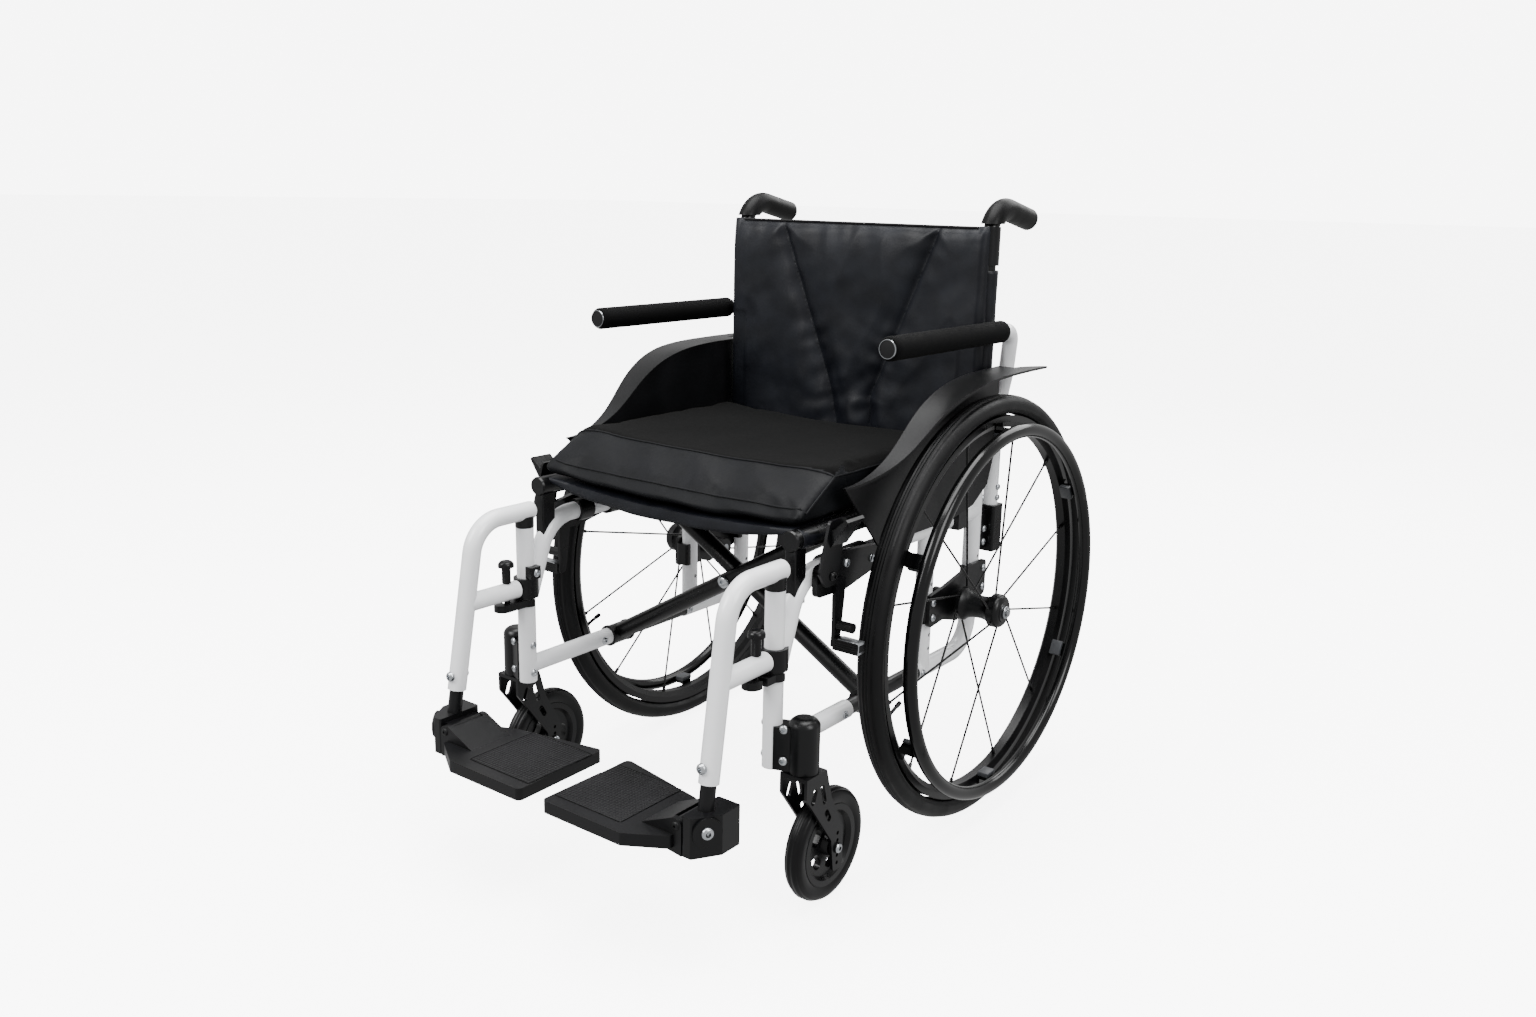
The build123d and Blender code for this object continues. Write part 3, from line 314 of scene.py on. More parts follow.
# Glass-filled nylon: clamps, caster cores and levers, smoother and a little brighter.
FILLED_NYLON = GrainFinish(
    "black_glass_filled_nylon", "08080A", "050506", (0.24, 0.34), grain_mm=1.0, grain_deep_mm=0.03,
    grain_strength=0.2, patch_mm=30, specular=0.28,
)
# Closed-cell foam sleeve: open matte pores.
FOAM_SLEEVE = GrainFinish(
    "black_closed_cell_foam", "050506", "030303", (0.85, 0.95), grain_mm=1.6, grain_deep_mm=0.18,
    grain_strength=0.7, patch_mm=12, specular=0.1,
)
# Zinc-plated steel of the bolts.
ZINC_STEEL = BrushedFinish(
    "zinc_plated_steel", "C6C9CC", "AEB2B6", (0.2, 0.32), metallic=1.0, patch_mm=10, line_mm=0.5
)
# Chromed steel of axle buttons and trim rings.
CHROME = Finish("polished_chrome", "A4A6A9", "94979A", (0.1, 0.16), metallic=1.0, patch_mm=20)
# Bare extruded aluminium of the brake shoe.
SHOE_METAL = BrushedFinish(
    "extruded_aluminium", "C9CCCF", "B3B6BA", (0.28, 0.4), metallic=1.0, patch_mm=12, line_mm=0.6
)
# Moulded grey nylon of the handrim tabs.
TAB_GREY = GrainFinish("grey_moulded_nylon", "3E4043", "333538", (0.4, 0.5), grain_mm=1.0)
# Coated nylon of the backrest and the seat cloth: a tight weave with a low sheen.
COATED_NYLON = WovenFinish(
    "coated_black_nylon", "101218", "0A0B10", (0.38, 0.5), patch_mm=35, thread_mm=1.3, specular=0.22,
)
# The same cloth on the cushion's front and sides.
CUSHION_NYLON = WovenFinish(
    "coated_black_nylon_cushion", "0B0C0F", "060709", (0.5, 0.62), patch_mm=35, thread_mm=1.3,
    specular=0.13,
)
# Stretch knit on the cushion's top: darker, with no shine.
STRETCH_KNIT = WovenFinish(
    "black_stretch_knit", "040404", "020202", (0.85, 0.95), sheen=0.02, patch_mm=30, thread_mm=1.6,
    threads=("X", "Y"), deep_mm=0.2, weave_strength=0.6, specular=0.06,
)
# Nylon binding tape and sewing thread.
BINDING = WovenFinish(
    "black_binding_tape", "0B0B0D", "070708", (0.6, 0.72), thread_mm=1.0, threads=("X", "Z"), patch_mm=15,
    specular=0.25,
)


# ---- Making pieces ----
def settle(
    name: str, shape: bmesh.types.BMesh, finish: Finish, body: str,
    smooth_angle: float = 35.0, heal: bool = True,
) -> bpy.types.Object:
    """Turn a bmesh into a finished piece that rides on a body.

    Args:
        name: The piece's name.
        shape: The mesh in place, in the row frame. It is freed.
        finish: The piece's finish.
        body: The CAD body that carries it.
        smooth_angle: Edges sharper than this stay sharp, in degrees.
        heal: Whether to merge doubles and recalculate the normals.

    Returns:
        The new object.
    """
    if heal:
        bmesh.ops.remove_doubles(shape, verts=shape.verts, dist=1e-6)
        bmesh.ops.recalc_face_normals(shape, faces=shape.faces)
    mesh = bpy.data.meshes.new(name)
    shape.to_mesh(mesh)
    shape.free()
    mesh.materials.append(finish.material())
    mesh.shade_smooth()
    mesh.set_sharp_from_angle(angle=radians(smooth_angle))
    made = bpy.data.objects.new(name, mesh)
    bpy.context.scene.collection.objects.link(made)
    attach(made, body)
    log.info("made %s on %s, %d faces", name, body, len(mesh.polygons))
    return made


def turned(
    outline: list[tuple[float, float]], centre: Vector, axis: Vector, steps: int = 48, closed: bool = False
) -> bmesh.types.BMesh:
    """Spin an outline once round an axis.

    Args:
        outline: Pairs of distance along the axis and radius, from one end to the other.
        centre: Where the axis has distance 0.
        axis: The direction of the axis.
        steps: How many steps a turn has.
        closed: Whether the outline closes on itself, as a ring's section does.

    Returns:
        The turned shape.
    """
    shape = bmesh.new()
    verts = [shape.verts.new((radius, 0.0, along)) for along, radius in outline]
    pairs = list(zip(verts, verts[1:] + verts[:1])) if closed else list(zip(verts, verts[1:]))
    edges = [shape.edges.new(pair) for pair in pairs]
    bmesh.ops.spin(
        shape, geom=verts + edges, cent=(0, 0, 0), axis=(0, 0, 1), angle=2 * pi, steps=steps,
        use_merge=True, use_duplicate=False,
    )
    bmesh.ops.remove_doubles(shape, verts=shape.verts, dist=1e-6)
    turn = Vector((0, 0, 1)).rotation_difference(axis).to_matrix().to_4x4()
    bmesh.ops.transform(shape, matrix=Matrix.Translation(centre) @ turn, verts=shape.verts)
    return shape


def bevel(shape: bmesh.types.BMesh, edges: list, width: float, segments: int = 2) -> None:
    """Round some edges.

    Args:
        shape: The mesh.
        edges: The edges to round.
        width: The rounding's width.
        segments: How many steps it has.
    """
    bmesh.ops.bevel(
        shape, geom=edges, offset=width, affect="EDGES", segments=segments, profile=0.5, material=-1,
        clamp_overlap=True,
    )


def brick(low: Vector, high: Vector, rounding: float, segments: int = 2) -> bmesh.types.BMesh:
    """Make a block with rounded edges between two corners.

    Args:
        low: Its lowest corner.
        high: Its highest corner.
        rounding: The edges' rounding.
        segments: How many steps the rounding has.

    Returns:
        The block.
    """
    shape = bmesh.new()
    bmesh.ops.create_cube(shape, size=1.0)
    bmesh.ops.scale(shape, vec=Vector(high) - Vector(low), verts=shape.verts)
    bmesh.ops.translate(shape, vec=(Vector(high) + Vector(low)) / 2, verts=shape.verts)
    if rounding:
        bevel(shape, shape.edges[:], rounding, segments)
    return shape


def mirror_x(shape: bmesh.types.BMesh, way: int) -> None:
    """Mirror a shape across the middle plane if it belongs to the right side.

    Args:
        shape: The mesh of the left piece.
        way: 1 for the left side, -1 for the right.
    """
    if way < 0:
        bmesh.ops.scale(shape, vec=(-1, 1, 1), verts=shape.verts)
        bmesh.ops.reverse_faces(shape, faces=shape.faces)


def dress(node: str, finish: Finish) -> None:
    """Give a CAD node its finish.

    Args:
        node: The node's name.
        finish: The finish that its object gets.
    """
    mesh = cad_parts[node].data
    mesh.materials.clear()
    mesh.materials.append(finish.material())


def apply_modifiers(piece: bpy.types.Object) -> None:
    """Make a piece's modifiers part of its mesh."""
    bpy.context.view_layer.update()
    final = bpy.data.meshes.new_from_object(piece.evaluated_get(bpy.context.evaluated_depsgraph_get()))
    piece.modifiers.clear()
    piece.data = final


def rope_along(
    name: str, points: list[Vector], radius: float, finish: Finish, body: str,
    loop: bool = False,
) -> bpy.types.Object:
    """Make a thin round piping along points, as a mesh.

    Args:
        name: The piece's name.
        points: The line that the piping follows.
        radius: The piping's radius.
        finish: Its finish.
        body: The CAD body that carries it.
        loop: Whether it closes on itself.

    Returns:
        The piping.
    """
    curve = bpy.data.curves.new(name, "CURVE")
    curve.dimensions = "3D"
    curve.bevel_depth, curve.bevel_resolution, curve.use_fill_caps = radius, 2, not loop
    spline = curve.splines.new("POLY")
    spline.points.add(len(points) - 1)
    for spot, place in zip(spline.points, points):
        spot.co = (*place, 1.0)
    spline.use_cyclic_u = loop
    holder = bpy.data.objects.new(name + "_line", curve)
    bpy.context.scene.collection.objects.link(holder)
    bpy.context.view_layer.update()
    mesh = bpy.data.meshes.new_from_object(holder.evaluated_get(bpy.context.evaluated_depsgraph_get()))
    bpy.data.objects.remove(holder)
    shape = bmesh.new()
    shape.from_mesh(mesh)
    bpy.data.meshes.remove(mesh)
    return settle(name, shape, finish, body)


@dataclass
class Bolt:
    """A domed socket-head bolt, seen from outside."""

    name: str
    place: Vector
    direction: Vector
    body: str
    radius: float = 0.006
    height: float = 0.0034
    finish: Finish = ZINC_STEEL

    def build(self) -> bpy.types.Object:
        """Turn the head with its round socket.

        Returns:
            The bolt's head.
        """
        r, h = self.radius, self.height
        outline = [(-0.001, 0.0), (-0.001, r), (h * 0.35, r), (h * 0.75, r * 0.86), (h, r * 0.62)]
        outline += [(h, r * 0.44), (h * 0.3, r * 0.4), (h * 0.3, 0.0)]
        shape = turned(outline, self.place, self.direction, steps=24)
        return settle(self.name, shape, self.finish, self.body)


# ---- Soft goods ----
@dataclass
class Cushion:
    """The foam seat cushion: a knit top, nylon sides and a sloping front."""

    node: str = "cushion"
    body: str = "seat"
    inset: float = 0.004
    edge: float = 0.007
    front_slope: float = 0.060
    lip: float = 0.014
    voxel: float = 0.005
    pressure: float = 4.0
    swell_cap: float = 0.008
    sag: float = 0.009
    low: Vector = field(init=False)
    high: Vector = field(init=False)

    def __post_init__(self) -> None:
        """Read the cushion's space from its CAD solid."""
        self.low, self.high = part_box(self.node)

    def build(self) -> None:
        piece = self.blown(self.blank())
        self.dress_faces(piece)
        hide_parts(self.node)
        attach(piece, self.body)
        self.squashed(piece)
        for name, line in self.seam_lines().items():
            self.squashed(self.piping(name, line, piece))

    def squashed(self, piece: bpy.types.Object) -> None:
        """Give a piece its own copy of its mesh."""
        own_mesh(piece)

    def blank(self) -> bmesh.types.BMesh:
        """The cut foam block, a little smaller than the finished cushion.

        Returns:
            The block in place.
        """
        i = self.inset
        front, rear = self.low.y + i, self.high.y - i
        bottom, top = self.low.z + 0.001, self.high.z - i
        shape = bmesh.new()
        side = [
            (front - self.lip, bottom), (front - self.lip - 0.003, bottom + 0.009),
            (front + self.front_slope, top), (rear, top), (rear, bottom),
        ]
        verts = [shape.verts.new((self.low.x + i, y, z)) for y, z in side]
        face = shape.faces.new(verts)
        wide = bmesh.ops.extrude_face_region(shape, geom=[face])
        moved = [v for v in wide["geom"] if isinstance(v, bmesh.types.BMVert)]
        bmesh.ops.translate(shape, vec=(self.high.x - self.low.x - 2 * i, 0, 0), verts=moved)
        bmesh.ops.recalc_face_normals(shape, faces=shape.faces)
        bevel(shape, shape.edges[:], self.edge, 3)
        return shape

    def sagged(self, piece: bpy.types.Object) -> None:
        """Let the cushion settle into the sling, most in its middle."""
        for vertex in piece.data.vertices:
            share = (vertex.co.x / self.high.x) ** 2
            vertex.co.z -= self.sag * max(0.0, 1 - share)

    def blown(self, shape: bmesh.types.BMesh) -> bpy.types.Object:
        """Fill the cover by a cloth simulation.

        Args:
            shape: The cut block. It is freed.

        Returns:
            The filled cushion.
        """
        piece = settle("seat_cushion", shape, STRETCH_KNIT, self.body)
        remesh = piece.modifiers.new("remesh", "REMESH")
        remesh.mode, remesh.voxel_size = "VOXEL", self.voxel
        apply_modifiers(piece)
        self.simulate(piece)
        finer = piece.modifiers.new("finer", "SUBSURF")
        finer.levels = finer.render_levels = 1
        apply_modifiers(piece)
        piece.data.shade_smooth()
        self.sagged(piece)
        return piece

    def simulate(self, piece: bpy.types.Object) -> None:
        """Inflate a piece a little, and cap how far each point moves."""
        piece.parent = None
        before = [v.co.copy() for v in piece.data.vertices]
        cloth = piece.modifiers.new("cloth", "CLOTH")
        cloth.settings.use_pressure = True
        cloth.settings.uniform_pressure_force = self.pressure
        cloth.settings.effector_weights.gravity = 0
        scene = bpy.context.scene
        for step in range(1, 21):
            scene.frame_set(step)
        apply_modifiers(piece)
        scene.frame_set(1)
        for vertex, start in zip(piece.data.vertices, before):
            moved = vertex.co - start
            if moved.length > self.swell_cap:
                vertex.co = start + moved.normalized() * self.swell_cap
            # The cushion lies flat on the seat cloth and stays in its space
            vertex.co.z = max(vertex.co.z, self.low.z)
            # Slack cloth ripples over the foam, most on the front slope
            on_slope = 1.0 if vertex.co.y < self.low.y + self.front_slope else 0.35
            ripple = noise.noise(Vector((vertex.co.x * 18, vertex.co.y * 9, vertex.co.z * 12)))
            fold = abs(noise.noise(Vector((vertex.co.x * 11 + vertex.co.z * 20, vertex.co.y * 6, 4.0))))
            vertex.co.z += (0.0022 * ripple - 0.0030 * fold) * on_slope
            vertex.co.y -= 0.0015 * ripple * on_slope

    def dress_faces(self, piece: bpy.types.Object) -> None:
        """Give the top the knit and the rest the nylon."""
        piece.data.materials.clear()
        piece.data.materials.append(STRETCH_KNIT.material())
        piece.data.materials.append(CUSHION_NYLON.material())
        crease = self.low.y + self.front_slope + 0.004
        for face in piece.data.polygons:
            on_top = face.normal.z > 0.72 and face.center.y > crease
            face.material_index = 0 if on_top else 1

    def seam_lines(self) -> dict[str, list[Vector]]:
        """The lines of the cover's seams, before they are laid on it.

        Returns:
            Each seam's corner points by its name.
        """
        i = self.inset + 0.003
        xs = (self.low.x + i, self.high.x - i)
        crease, rear, top = self.low.y + self.front_slope + 0.003, self.high.y - i, self.high.z - i
        front, foot = self.low.y + i, self.low.z + 0.014
        around = [Vector((xs[0], crease, top)), Vector((xs[1], crease, top)), Vector((xs[1], rear, top))]
        around += [Vector((xs[0], rear, top)), around[0]]
        slope = [Vector((xs[0], crease, top)), Vector((xs[0], front, foot)), Vector((xs[1], front, foot))]
        slope += [Vector((xs[1], crease, top))]
        return {"cushion_top_seam": around, "cushion_front_seam": slope}

    def piping(self, name: str, line: list[Vector], piece: bpy.types.Object) -> bpy.types.Object:
        """Lay a piping on the filled cushion.

        Args:
            name: The piping's name.
            line: Its corner points.
            piece: The cushion.

        Returns:
            The piping.
        """
        tree = BVHTree.FromPolygons(
            [v.co for v in piece.data.vertices], [p.vertices[:] for p in piece.data.polygons]
        )
        points = []
        for start, end in zip(line, line[1:]):
            count = max(2, int((end - start).length / 0.012))
            for k in range(count):
                place, normal, _, _ = tree.find_nearest(start.lerp(end, k / count))
                points.append(place + normal * 0.0004)
        loop = (line[0] - line[-1]).length < 1e-6
        if not loop:
            points.append(tree.find_nearest(line[-1])[0])
        return rope_along(name, points, 0.0014, CUSHION_NYLON, self.body, loop)


@dataclass
class Backrest:
    """The quilted back upholstery, sewn round the two back posts."""

    node: str = "backrest"
    body: str = "left_frame"
    columns: int = 150
    rows: int = 112
    loft: float = 0.0125
    seam_width: float = 0.012
    base: float = 0.004
    post_r: float = 0.01085
    rail_path: float = 0.194
    rail_rise: float = 0.690
    rail_clear: float = 0.1937
    low: Vector = field(init=False)
    high: Vector = field(init=False)
    post: Vector = field(init=False)

    def __post_init__(self) -> None:
        """Read the space from the CAD solid, and the place of the posts."""
        self.low, self.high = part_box(self.node)
        post_low, post_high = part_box("left_back_post")
        # The post is upright, and its handle bends back and inwards from its top
        self.post = Vector((post_high.x - self.post_r, post_low.y + self.post_r, 0))

    def seams(self) -> list[tuple[Vector, Vector]]:
        """The quilting seams as pairs of points in x and z.

        Returns:
            The V of two seams, their short ends below, and the top hem.
        """
        z, low = self.high.z, self.low.z
        border = self.high.x - 0.014
        return [
            (Vector((-0.128, z - 0.004)), Vector((-0.033, z - 0.246))),
            (Vector((0.147, z - 0.004)), Vector((0.040, z - 0.258))),
            (Vector((-0.033, z - 0.246)), Vector((-0.012, low))),
            (Vector((0.040, z - 0.258)), Vector((0.046, low))),
            (Vector((-border, z - 0.003)), Vector((border, z - 0.003))),
        ]

    def height(self, x: float, z: float, seams: list[tuple[Vector, Vector]]) -> float:
        """How far the padded front stands out at a point.

        Args:
            x: The point's x.
            z: The point's z.
            seams: The seams, where the padding is pressed flat.

        Returns:
            The height in metres.
        """
        spot = Vector((x, z))
        nearest = 1.0
        pucker = 0.0
        for start, end in seams:
            along = end - start
            share = max(0.0, min(1.0, (spot - start).dot(along) / along.length_squared))
            gap = (spot - start - along * share).length
            if gap < nearest:
                nearest = gap
                # Small gathers run off each seam where the thread pulls the cloth
                run = share * along.length
                uneven = 1.0 + noise.noise(Vector((run * 30, start.x * 9, 5.0)))
                pucker = 0.0008 * uneven * sin(run * 2 * pi / 0.037 + 2.3 * sin(run * 31)) * exp(-gap / 0.018)
        loft = self.loft * (1 - exp(-nearest / self.seam_width))
        drape = noise.noise(Vector((x * 7 + z * 4, 3.1, z * 11 - x * 5)))
        # Slack cloth gathers low down between the two seams
        low_down = exp(-((z - self.low.z - 0.07) ** 2) / 0.0050) * exp(-((x - 0.01) ** 2) / 0.0060)
        crease = noise.noise(Vector((x * 34 - z * 22, 7.7, z * 30 + x * 14)))
        fold = abs(noise.noise(Vector((x * 15 - z * 5, 1.9, z * 5 + x * 4))))
        fade = min(1.0, nearest / 0.02)
        waves = 0.0030 * drape + (0.0007 + 0.0040 * low_down) * crease - 0.0060 * fold
        return self.base + loft + waves * fade + pucker * min(1.0, nearest / 0.004)

    def build(self) -> None:
        """Make the panel, its post sleeves and binding."""
        shape = bmesh.new()
        bmesh.ops.create_grid(shape, x_segments=self.columns, y_segments=self.rows, size=0.5)
        size = self.high - self.low
        seams = self.seams()
        rear = self.high.y
        sag = 0.004
        for vertex in shape.verts:
            x = self.low.x + (vertex.co.x + 0.5) * size.x
            z = self.low.z + (vertex.co.y + 0.5) * size.z
            rounding = 0.010
            reach = max(0.0, abs(x) - (self.high.x - rounding)) / rounding
            lift = max(0.0, z - (self.high.z - rounding)) / rounding
            drop = 0.007 * (reach**2 + lift**2)
            bow = sag * (1 - (x / self.high.x) ** 2)
            y = rear - 0.001 - self.height(x, z, seams) * (1 - 0.6 * min(1.0, reach**2 + lift**2)) + bow * 0.6
            y = min(y + drop * 0.2, rear)
            if abs(x) > self.rail_path and z < self.rail_rise:
                # Leave room for the seat rails that rise past the corners in a fold
                y = max(y, self.rail_clear)
            vertex.co = Vector((x, y, z))
        shape.faces.ensure_lookup_table()
        front = shape.faces[:]
        thick = bmesh.ops.extrude_face_region(shape, geom=front)
        back = [v for v in thick["geom"] if isinstance(v, bmesh.types.BMVert)]
        for vertex in back:
            bow = sag * (1 - (vertex.co.x / self.high.x) ** 2)
            vertex.co.y = rear + 0.0012 + bow + 0.0008 * noise.noise(vertex.co * 20)
        panel = settle("backrest_panel", shape, COATED_NYLON, self.body, 60)
        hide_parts(self.node)
        self.folds(panel)
        for side in Side:
            self.sleeve(side)
        self.binding()

    def folds(self, piece: bpy.types.Object) -> None:
        """Give a piece its own copy of its mesh."""
        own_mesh(piece)

    def sleeve(self, side: Side) -> None:
        """Wrap the cloth round one back post, from the panel's edge to its rear.

        Args:
            side: The side of the chair.
        """
        shape = bmesh.new()
        low_z, high_z = self.low.z + 0.004, self.high.z - 0.060
        radius = 0.0135
        x, y = side.value * self.post.x, self.post.y
        start, stop, steps = -80.0, 170.0, 26
        columns = 60
        line = []
        for k in range(steps + 1):
            turn = radians(start + (stop - start) * k / steps)
            line.append(Vector((x + side.value * radius * cos(turn), y + radius * sin(turn), low_z)))
        verts = [shape.verts.new(p) for p in line]
        edges = [shape.edges.new(pair) for pair in zip(verts, verts[1:])]
        rise = Vector((0, 0, (high_z - low_z) / columns))
        for _ in range(columns):
            made = bmesh.ops.extrude_edge_only(shape, edges=edges)
            moved = [v for v in made["geom"] if isinstance(v, bmesh.types.BMVert)]
            edges = [e for e in made["geom"] if isinstance(e, bmesh.types.BMEdge)]
            bmesh.ops.translate(shape, vec=rise, verts=moved)
        for vertex in shape.verts:
            out = (vertex.co - Vector((x, y, vertex.co.z))).normalized()
            ripple = noise.noise(Vector((vertex.co.x * 30, vertex.co.y * 30, vertex.co.z * 16)))
            vertex.co += out * 0.0012 * (1 + ripple)
        bmesh.ops.recalc_face_normals(shape, faces=shape.faces)
        piece = settle(side.node("post_sleeve"), shape, COATED_NYLON, side.node("frame"), 60)
        wall = piece.modifiers.new("cloth_wall", "SOLIDIFY")
        wall.thickness, wall.offset = 0.0012, -1
        apply_modifiers(piece)
        side.node("back_post")

    def binding(self) -> None:
        """Sew a binding tape along the top edge."""
        z, y = self.high.z - 0.0015, self.high.y - 0.0035
        wide = self.high.x - 0.018
        points = [Vector((wide * (k / 20 - 1), y + 0.002 * (1 - (k / 20 - 1) ** 2), z)) for k in range(41)]
        self.folds(rope_along("backrest_binding", points, 0.0017, BINDING, self.body))


@dataclass
class SeatCloth:
    """The sling seat: one sheet round both seat rails, with a hem that hangs at the front."""

    node: str = "seat_sling"
    body: str = "seat"
    columns: int = 120
    rows: int = 90
    droop: float = 0.0115
    hem: float = 0.013
    wrap: float = 200.0
    rail_r: float = 0.0131

    def build(self) -> None:
        """Make the sheet."""
        rail_low, rail_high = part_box("left_seat_rail")
        rail = middle("left_seat_rail")
        front, rear = rail_low.y + 0.016, rail_high.y - 0.012
        arc = radians(self.wrap) * self.rail_r
        width = 2 * (rail.x + arc)
        shape = bmesh.new()
        bmesh.ops.create_grid(shape, x_segments=self.columns, y_segments=self.rows, size=0.5)
        length = rear - front + self.hem
        for vertex in shape.verts:
            across = vertex.co.x * width
            along = (vertex.co.y + 0.5) * length - self.hem
            flat_part = min(abs(across), rail.x)
            beyond = max(0.0, abs(across) - rail.x) / self.rail_r
            way = 1 if across >= 0 else -1
            sag = self.droop * (1 - (flat_part / rail.x) ** 2)
            x = way * (flat_part + self.rail_r * sin(beyond))
            z = rail.z + self.rail_r * cos(beyond) - sag
            y = front + max(along, 0.0)
            if along < 0:
                # The front hem turns down between the rails' caps and falls in soft waves
                inside = max(0.0, 1 - (abs(x) / (rail.x - 0.012)) ** 6) if beyond == 0 else 0.0
                wave = 0.002 * sin(x * 46) + 0.004 * noise.noise(Vector((x * 24, 1.3, 0)))
                z -= -along * (0.55 + 0.45 * inside) + 0.004 * inside * (1 - (x / rail.x) ** 2)
                y += along * 0.1 * (1 - inside) + wave * min(1.0, -along / 0.02) * inside
                if beyond > 0:
                    y, z = front + along * 0.2, z + -along * 0.5
            else:
                z -= 0.0011 * (1 + noise.noise(Vector((x * 20, y * 22, 2)))) * min(1.0, flat_part / 0.02)
            vertex.co = Vector((x, y, z))
        piece = settle("seat_cloth", shape, COATED_NYLON, self.body, 70)
        wall = piece.modifiers.new("cloth_wall", "SOLIDIFY")
        wall.thickness, wall.offset = 0.0011, -1
        apply_modifiers(piece)
        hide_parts(self.node)
        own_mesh(piece)


@dataclass
class ArmPad:
    """The foam sleeve on an armrest, with its end cap and chromed trim ring."""

    side: Side
    edge: float = 0.004

    def build(self) -> None:
        """Make the sleeve and the cap."""
        node, body = self.side.node("armrest_pad"), self.side.node("armrest")
        low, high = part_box(node)
        centre = middle(node)
        r = (high.x - low.x) / 2
        length = high.y - low.y
        bore = 0.0112
        e = self.edge
        outline = [(0.0025, bore), (0.0, bore + 0.001), (0.0, r - e), (e * 0.3, r - e * 0.3), (e, r)]
        count = 36
        for k in range(1, count):
            y = e + (length - 2 * e) * k / count
            outline.append((y, r + 0.0003 * noise.noise(Vector((y * 60, self.side.value * 3.0, 0)))))
        outline += [(length - e, r), (length - e * 0.3, r - e * 0.3), (length, r - e), (length, bore)]
        start = Vector((centre.x, low.y, centre.z))
        shape = turned(outline, start, Vector((0, 1, 0)), steps=56, closed=True)
        pad = settle(self.side.node("foam_sleeve"), shape, FOAM_SLEEVE, body)
        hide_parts(node)
        # Pressed-in cap: a dark disc in a bright ring
        cap = [(0.004, 0.0), (0.004, 0.0113), (-0.0006, 0.0113), (-0.0012, 0.0106), (-0.0016, 0.006)]
        cap += [(-0.0018, 0.0)]
        settle(
            self.side.node("armrest_cap"), turned(cap, start, Vector((0, 1, 0)), 40), MOULDED_PLASTIC,
            body,
        )
        ring = [(-0.0010, 0.0110), (-0.0019, 0.0113), (-0.0019, 0.0121), (-0.0008, 0.0125), (0.0, 0.0120)]
        settle(
            self.side.node("armrest_trim_ring"),
            turned(ring, start, Vector((0, 1, 0)), 48, closed=True), CHROME, body,
        )


# ---- Wheels ----
@dataclass
class RearTyre:
    """A rear tyre with a grooved tread and a moulded side rib."""

    side: Side
    steps: int = 180
    grooves: tuple[float, ...] = (-0.0075, -0.0025, 0.0025, 0.0075)
    groove_w: float = 0.0014
    groove_deep: float = 0.0012

    def outline(self, outer: float, inner: float, half: float) -> list[tuple[float, float]]:
        """The tyre's closed section.

        Args:
            outer: The tread's radius.
            inner: The bead's radius.
            half: Half of the tyre's width.

        Returns:
            Pairs of distance along the axle and radius.
        """
        height = (outer - inner) / 2
        mid = inner + height
        points = []
        turns = 44
        for k in range(turns + 1):
            turn = radians(-62 + 304 * k / turns)
            along = -half * cos(turn)
            radius = mid + height * sin(turn)
            rib = 0.0006 if 20 <= (turn * 180 / pi) % 180 <= 28 else 0.0
            points.append((along * (1 + rib / half), radius))
        tread = []
        for along, radius in points:
            cut = any(abs(along - g) < self.groove_w for g in self.grooves) and radius > outer - 0.004
            tread.append((along, radius - (self.groove_deep if cut else 0)))
        return tread

    def build(self) -> None:
        """Spin the tyre."""
        node, body = self.side.node("tyre"), self.side.node("wheel")
        low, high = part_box(node)
        centre, half = middle(node), (high.x - low.x) / 2
        outer = (high.z - low.z) / 2
        inner = 0.277
        shape = turned(self.outline(outer, inner, half), centre, Vector((1, 0, 0)), self.steps, closed=True)
        tyre = settle(node + "_tread", shape, TYRE_RUBBER, body, 50)
        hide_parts(node)


@dataclass
class RimDetails:
    """A wheel's valve, the turned ring of its hub and its axle button."""

    side: Side
    valve_angle: float = 200.0

    def build(self) -> None:
        """Add the valve and the hub's trim."""
        body = self.side.node("wheel")
        rim, hub = middle(self.side.node("rim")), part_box(self.side.node("hub"))
        turn = radians(self.valve_angle)
        inward = Vector((0, -cos(turn), -sin(turn)))
        start = rim - inward * 0.2600
        stem = [(-0.002, 0.0), (-0.002, 0.0032), (0.006, 0.0032), (0.007, 0.0024), (0.022, 0.0024)]
        stem += [(0.023, 0.0031), (0.031, 0.0031), (0.032, 0.0020), (0.032, 0.0)]
        settle(self.side.node("valve"), turned(stem, start, inward, 20), FILLED_NYLON, body)
        out = Vector((self.side.value, 0, 0))
        face = hub[1].x if self.side is Side.LEFT else hub[0].x
        ring = [(-0.001, 0.0085), (0.0006, 0.0085), (0.0012, 0.0095), (0.0012, 0.0150), (-0.001, 0.0158)]
        place = Vector((face, rim.y, rim.z))
        settle(
            self.side.node("hub_face_ring"), turned(ring, place, out, 40, closed=True), BLACK_ANODISED,
            body,
        )
        button = [(0.0, 0.0), (0.0, 0.0062), (0.0022, 0.0058), (0.0026, 0.0046), (0.0026, 0.0)]
        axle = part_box(self.side.node("quick_release_axle"))
        tip = axle[1].x if self.side is Side.LEFT else axle[0].x
        settle(
            self.side.node("axle_button"), turned(button, Vector((tip, rim.y, rim.z)), out, 28), CHROME,
            self.side.node("axle"),
        )


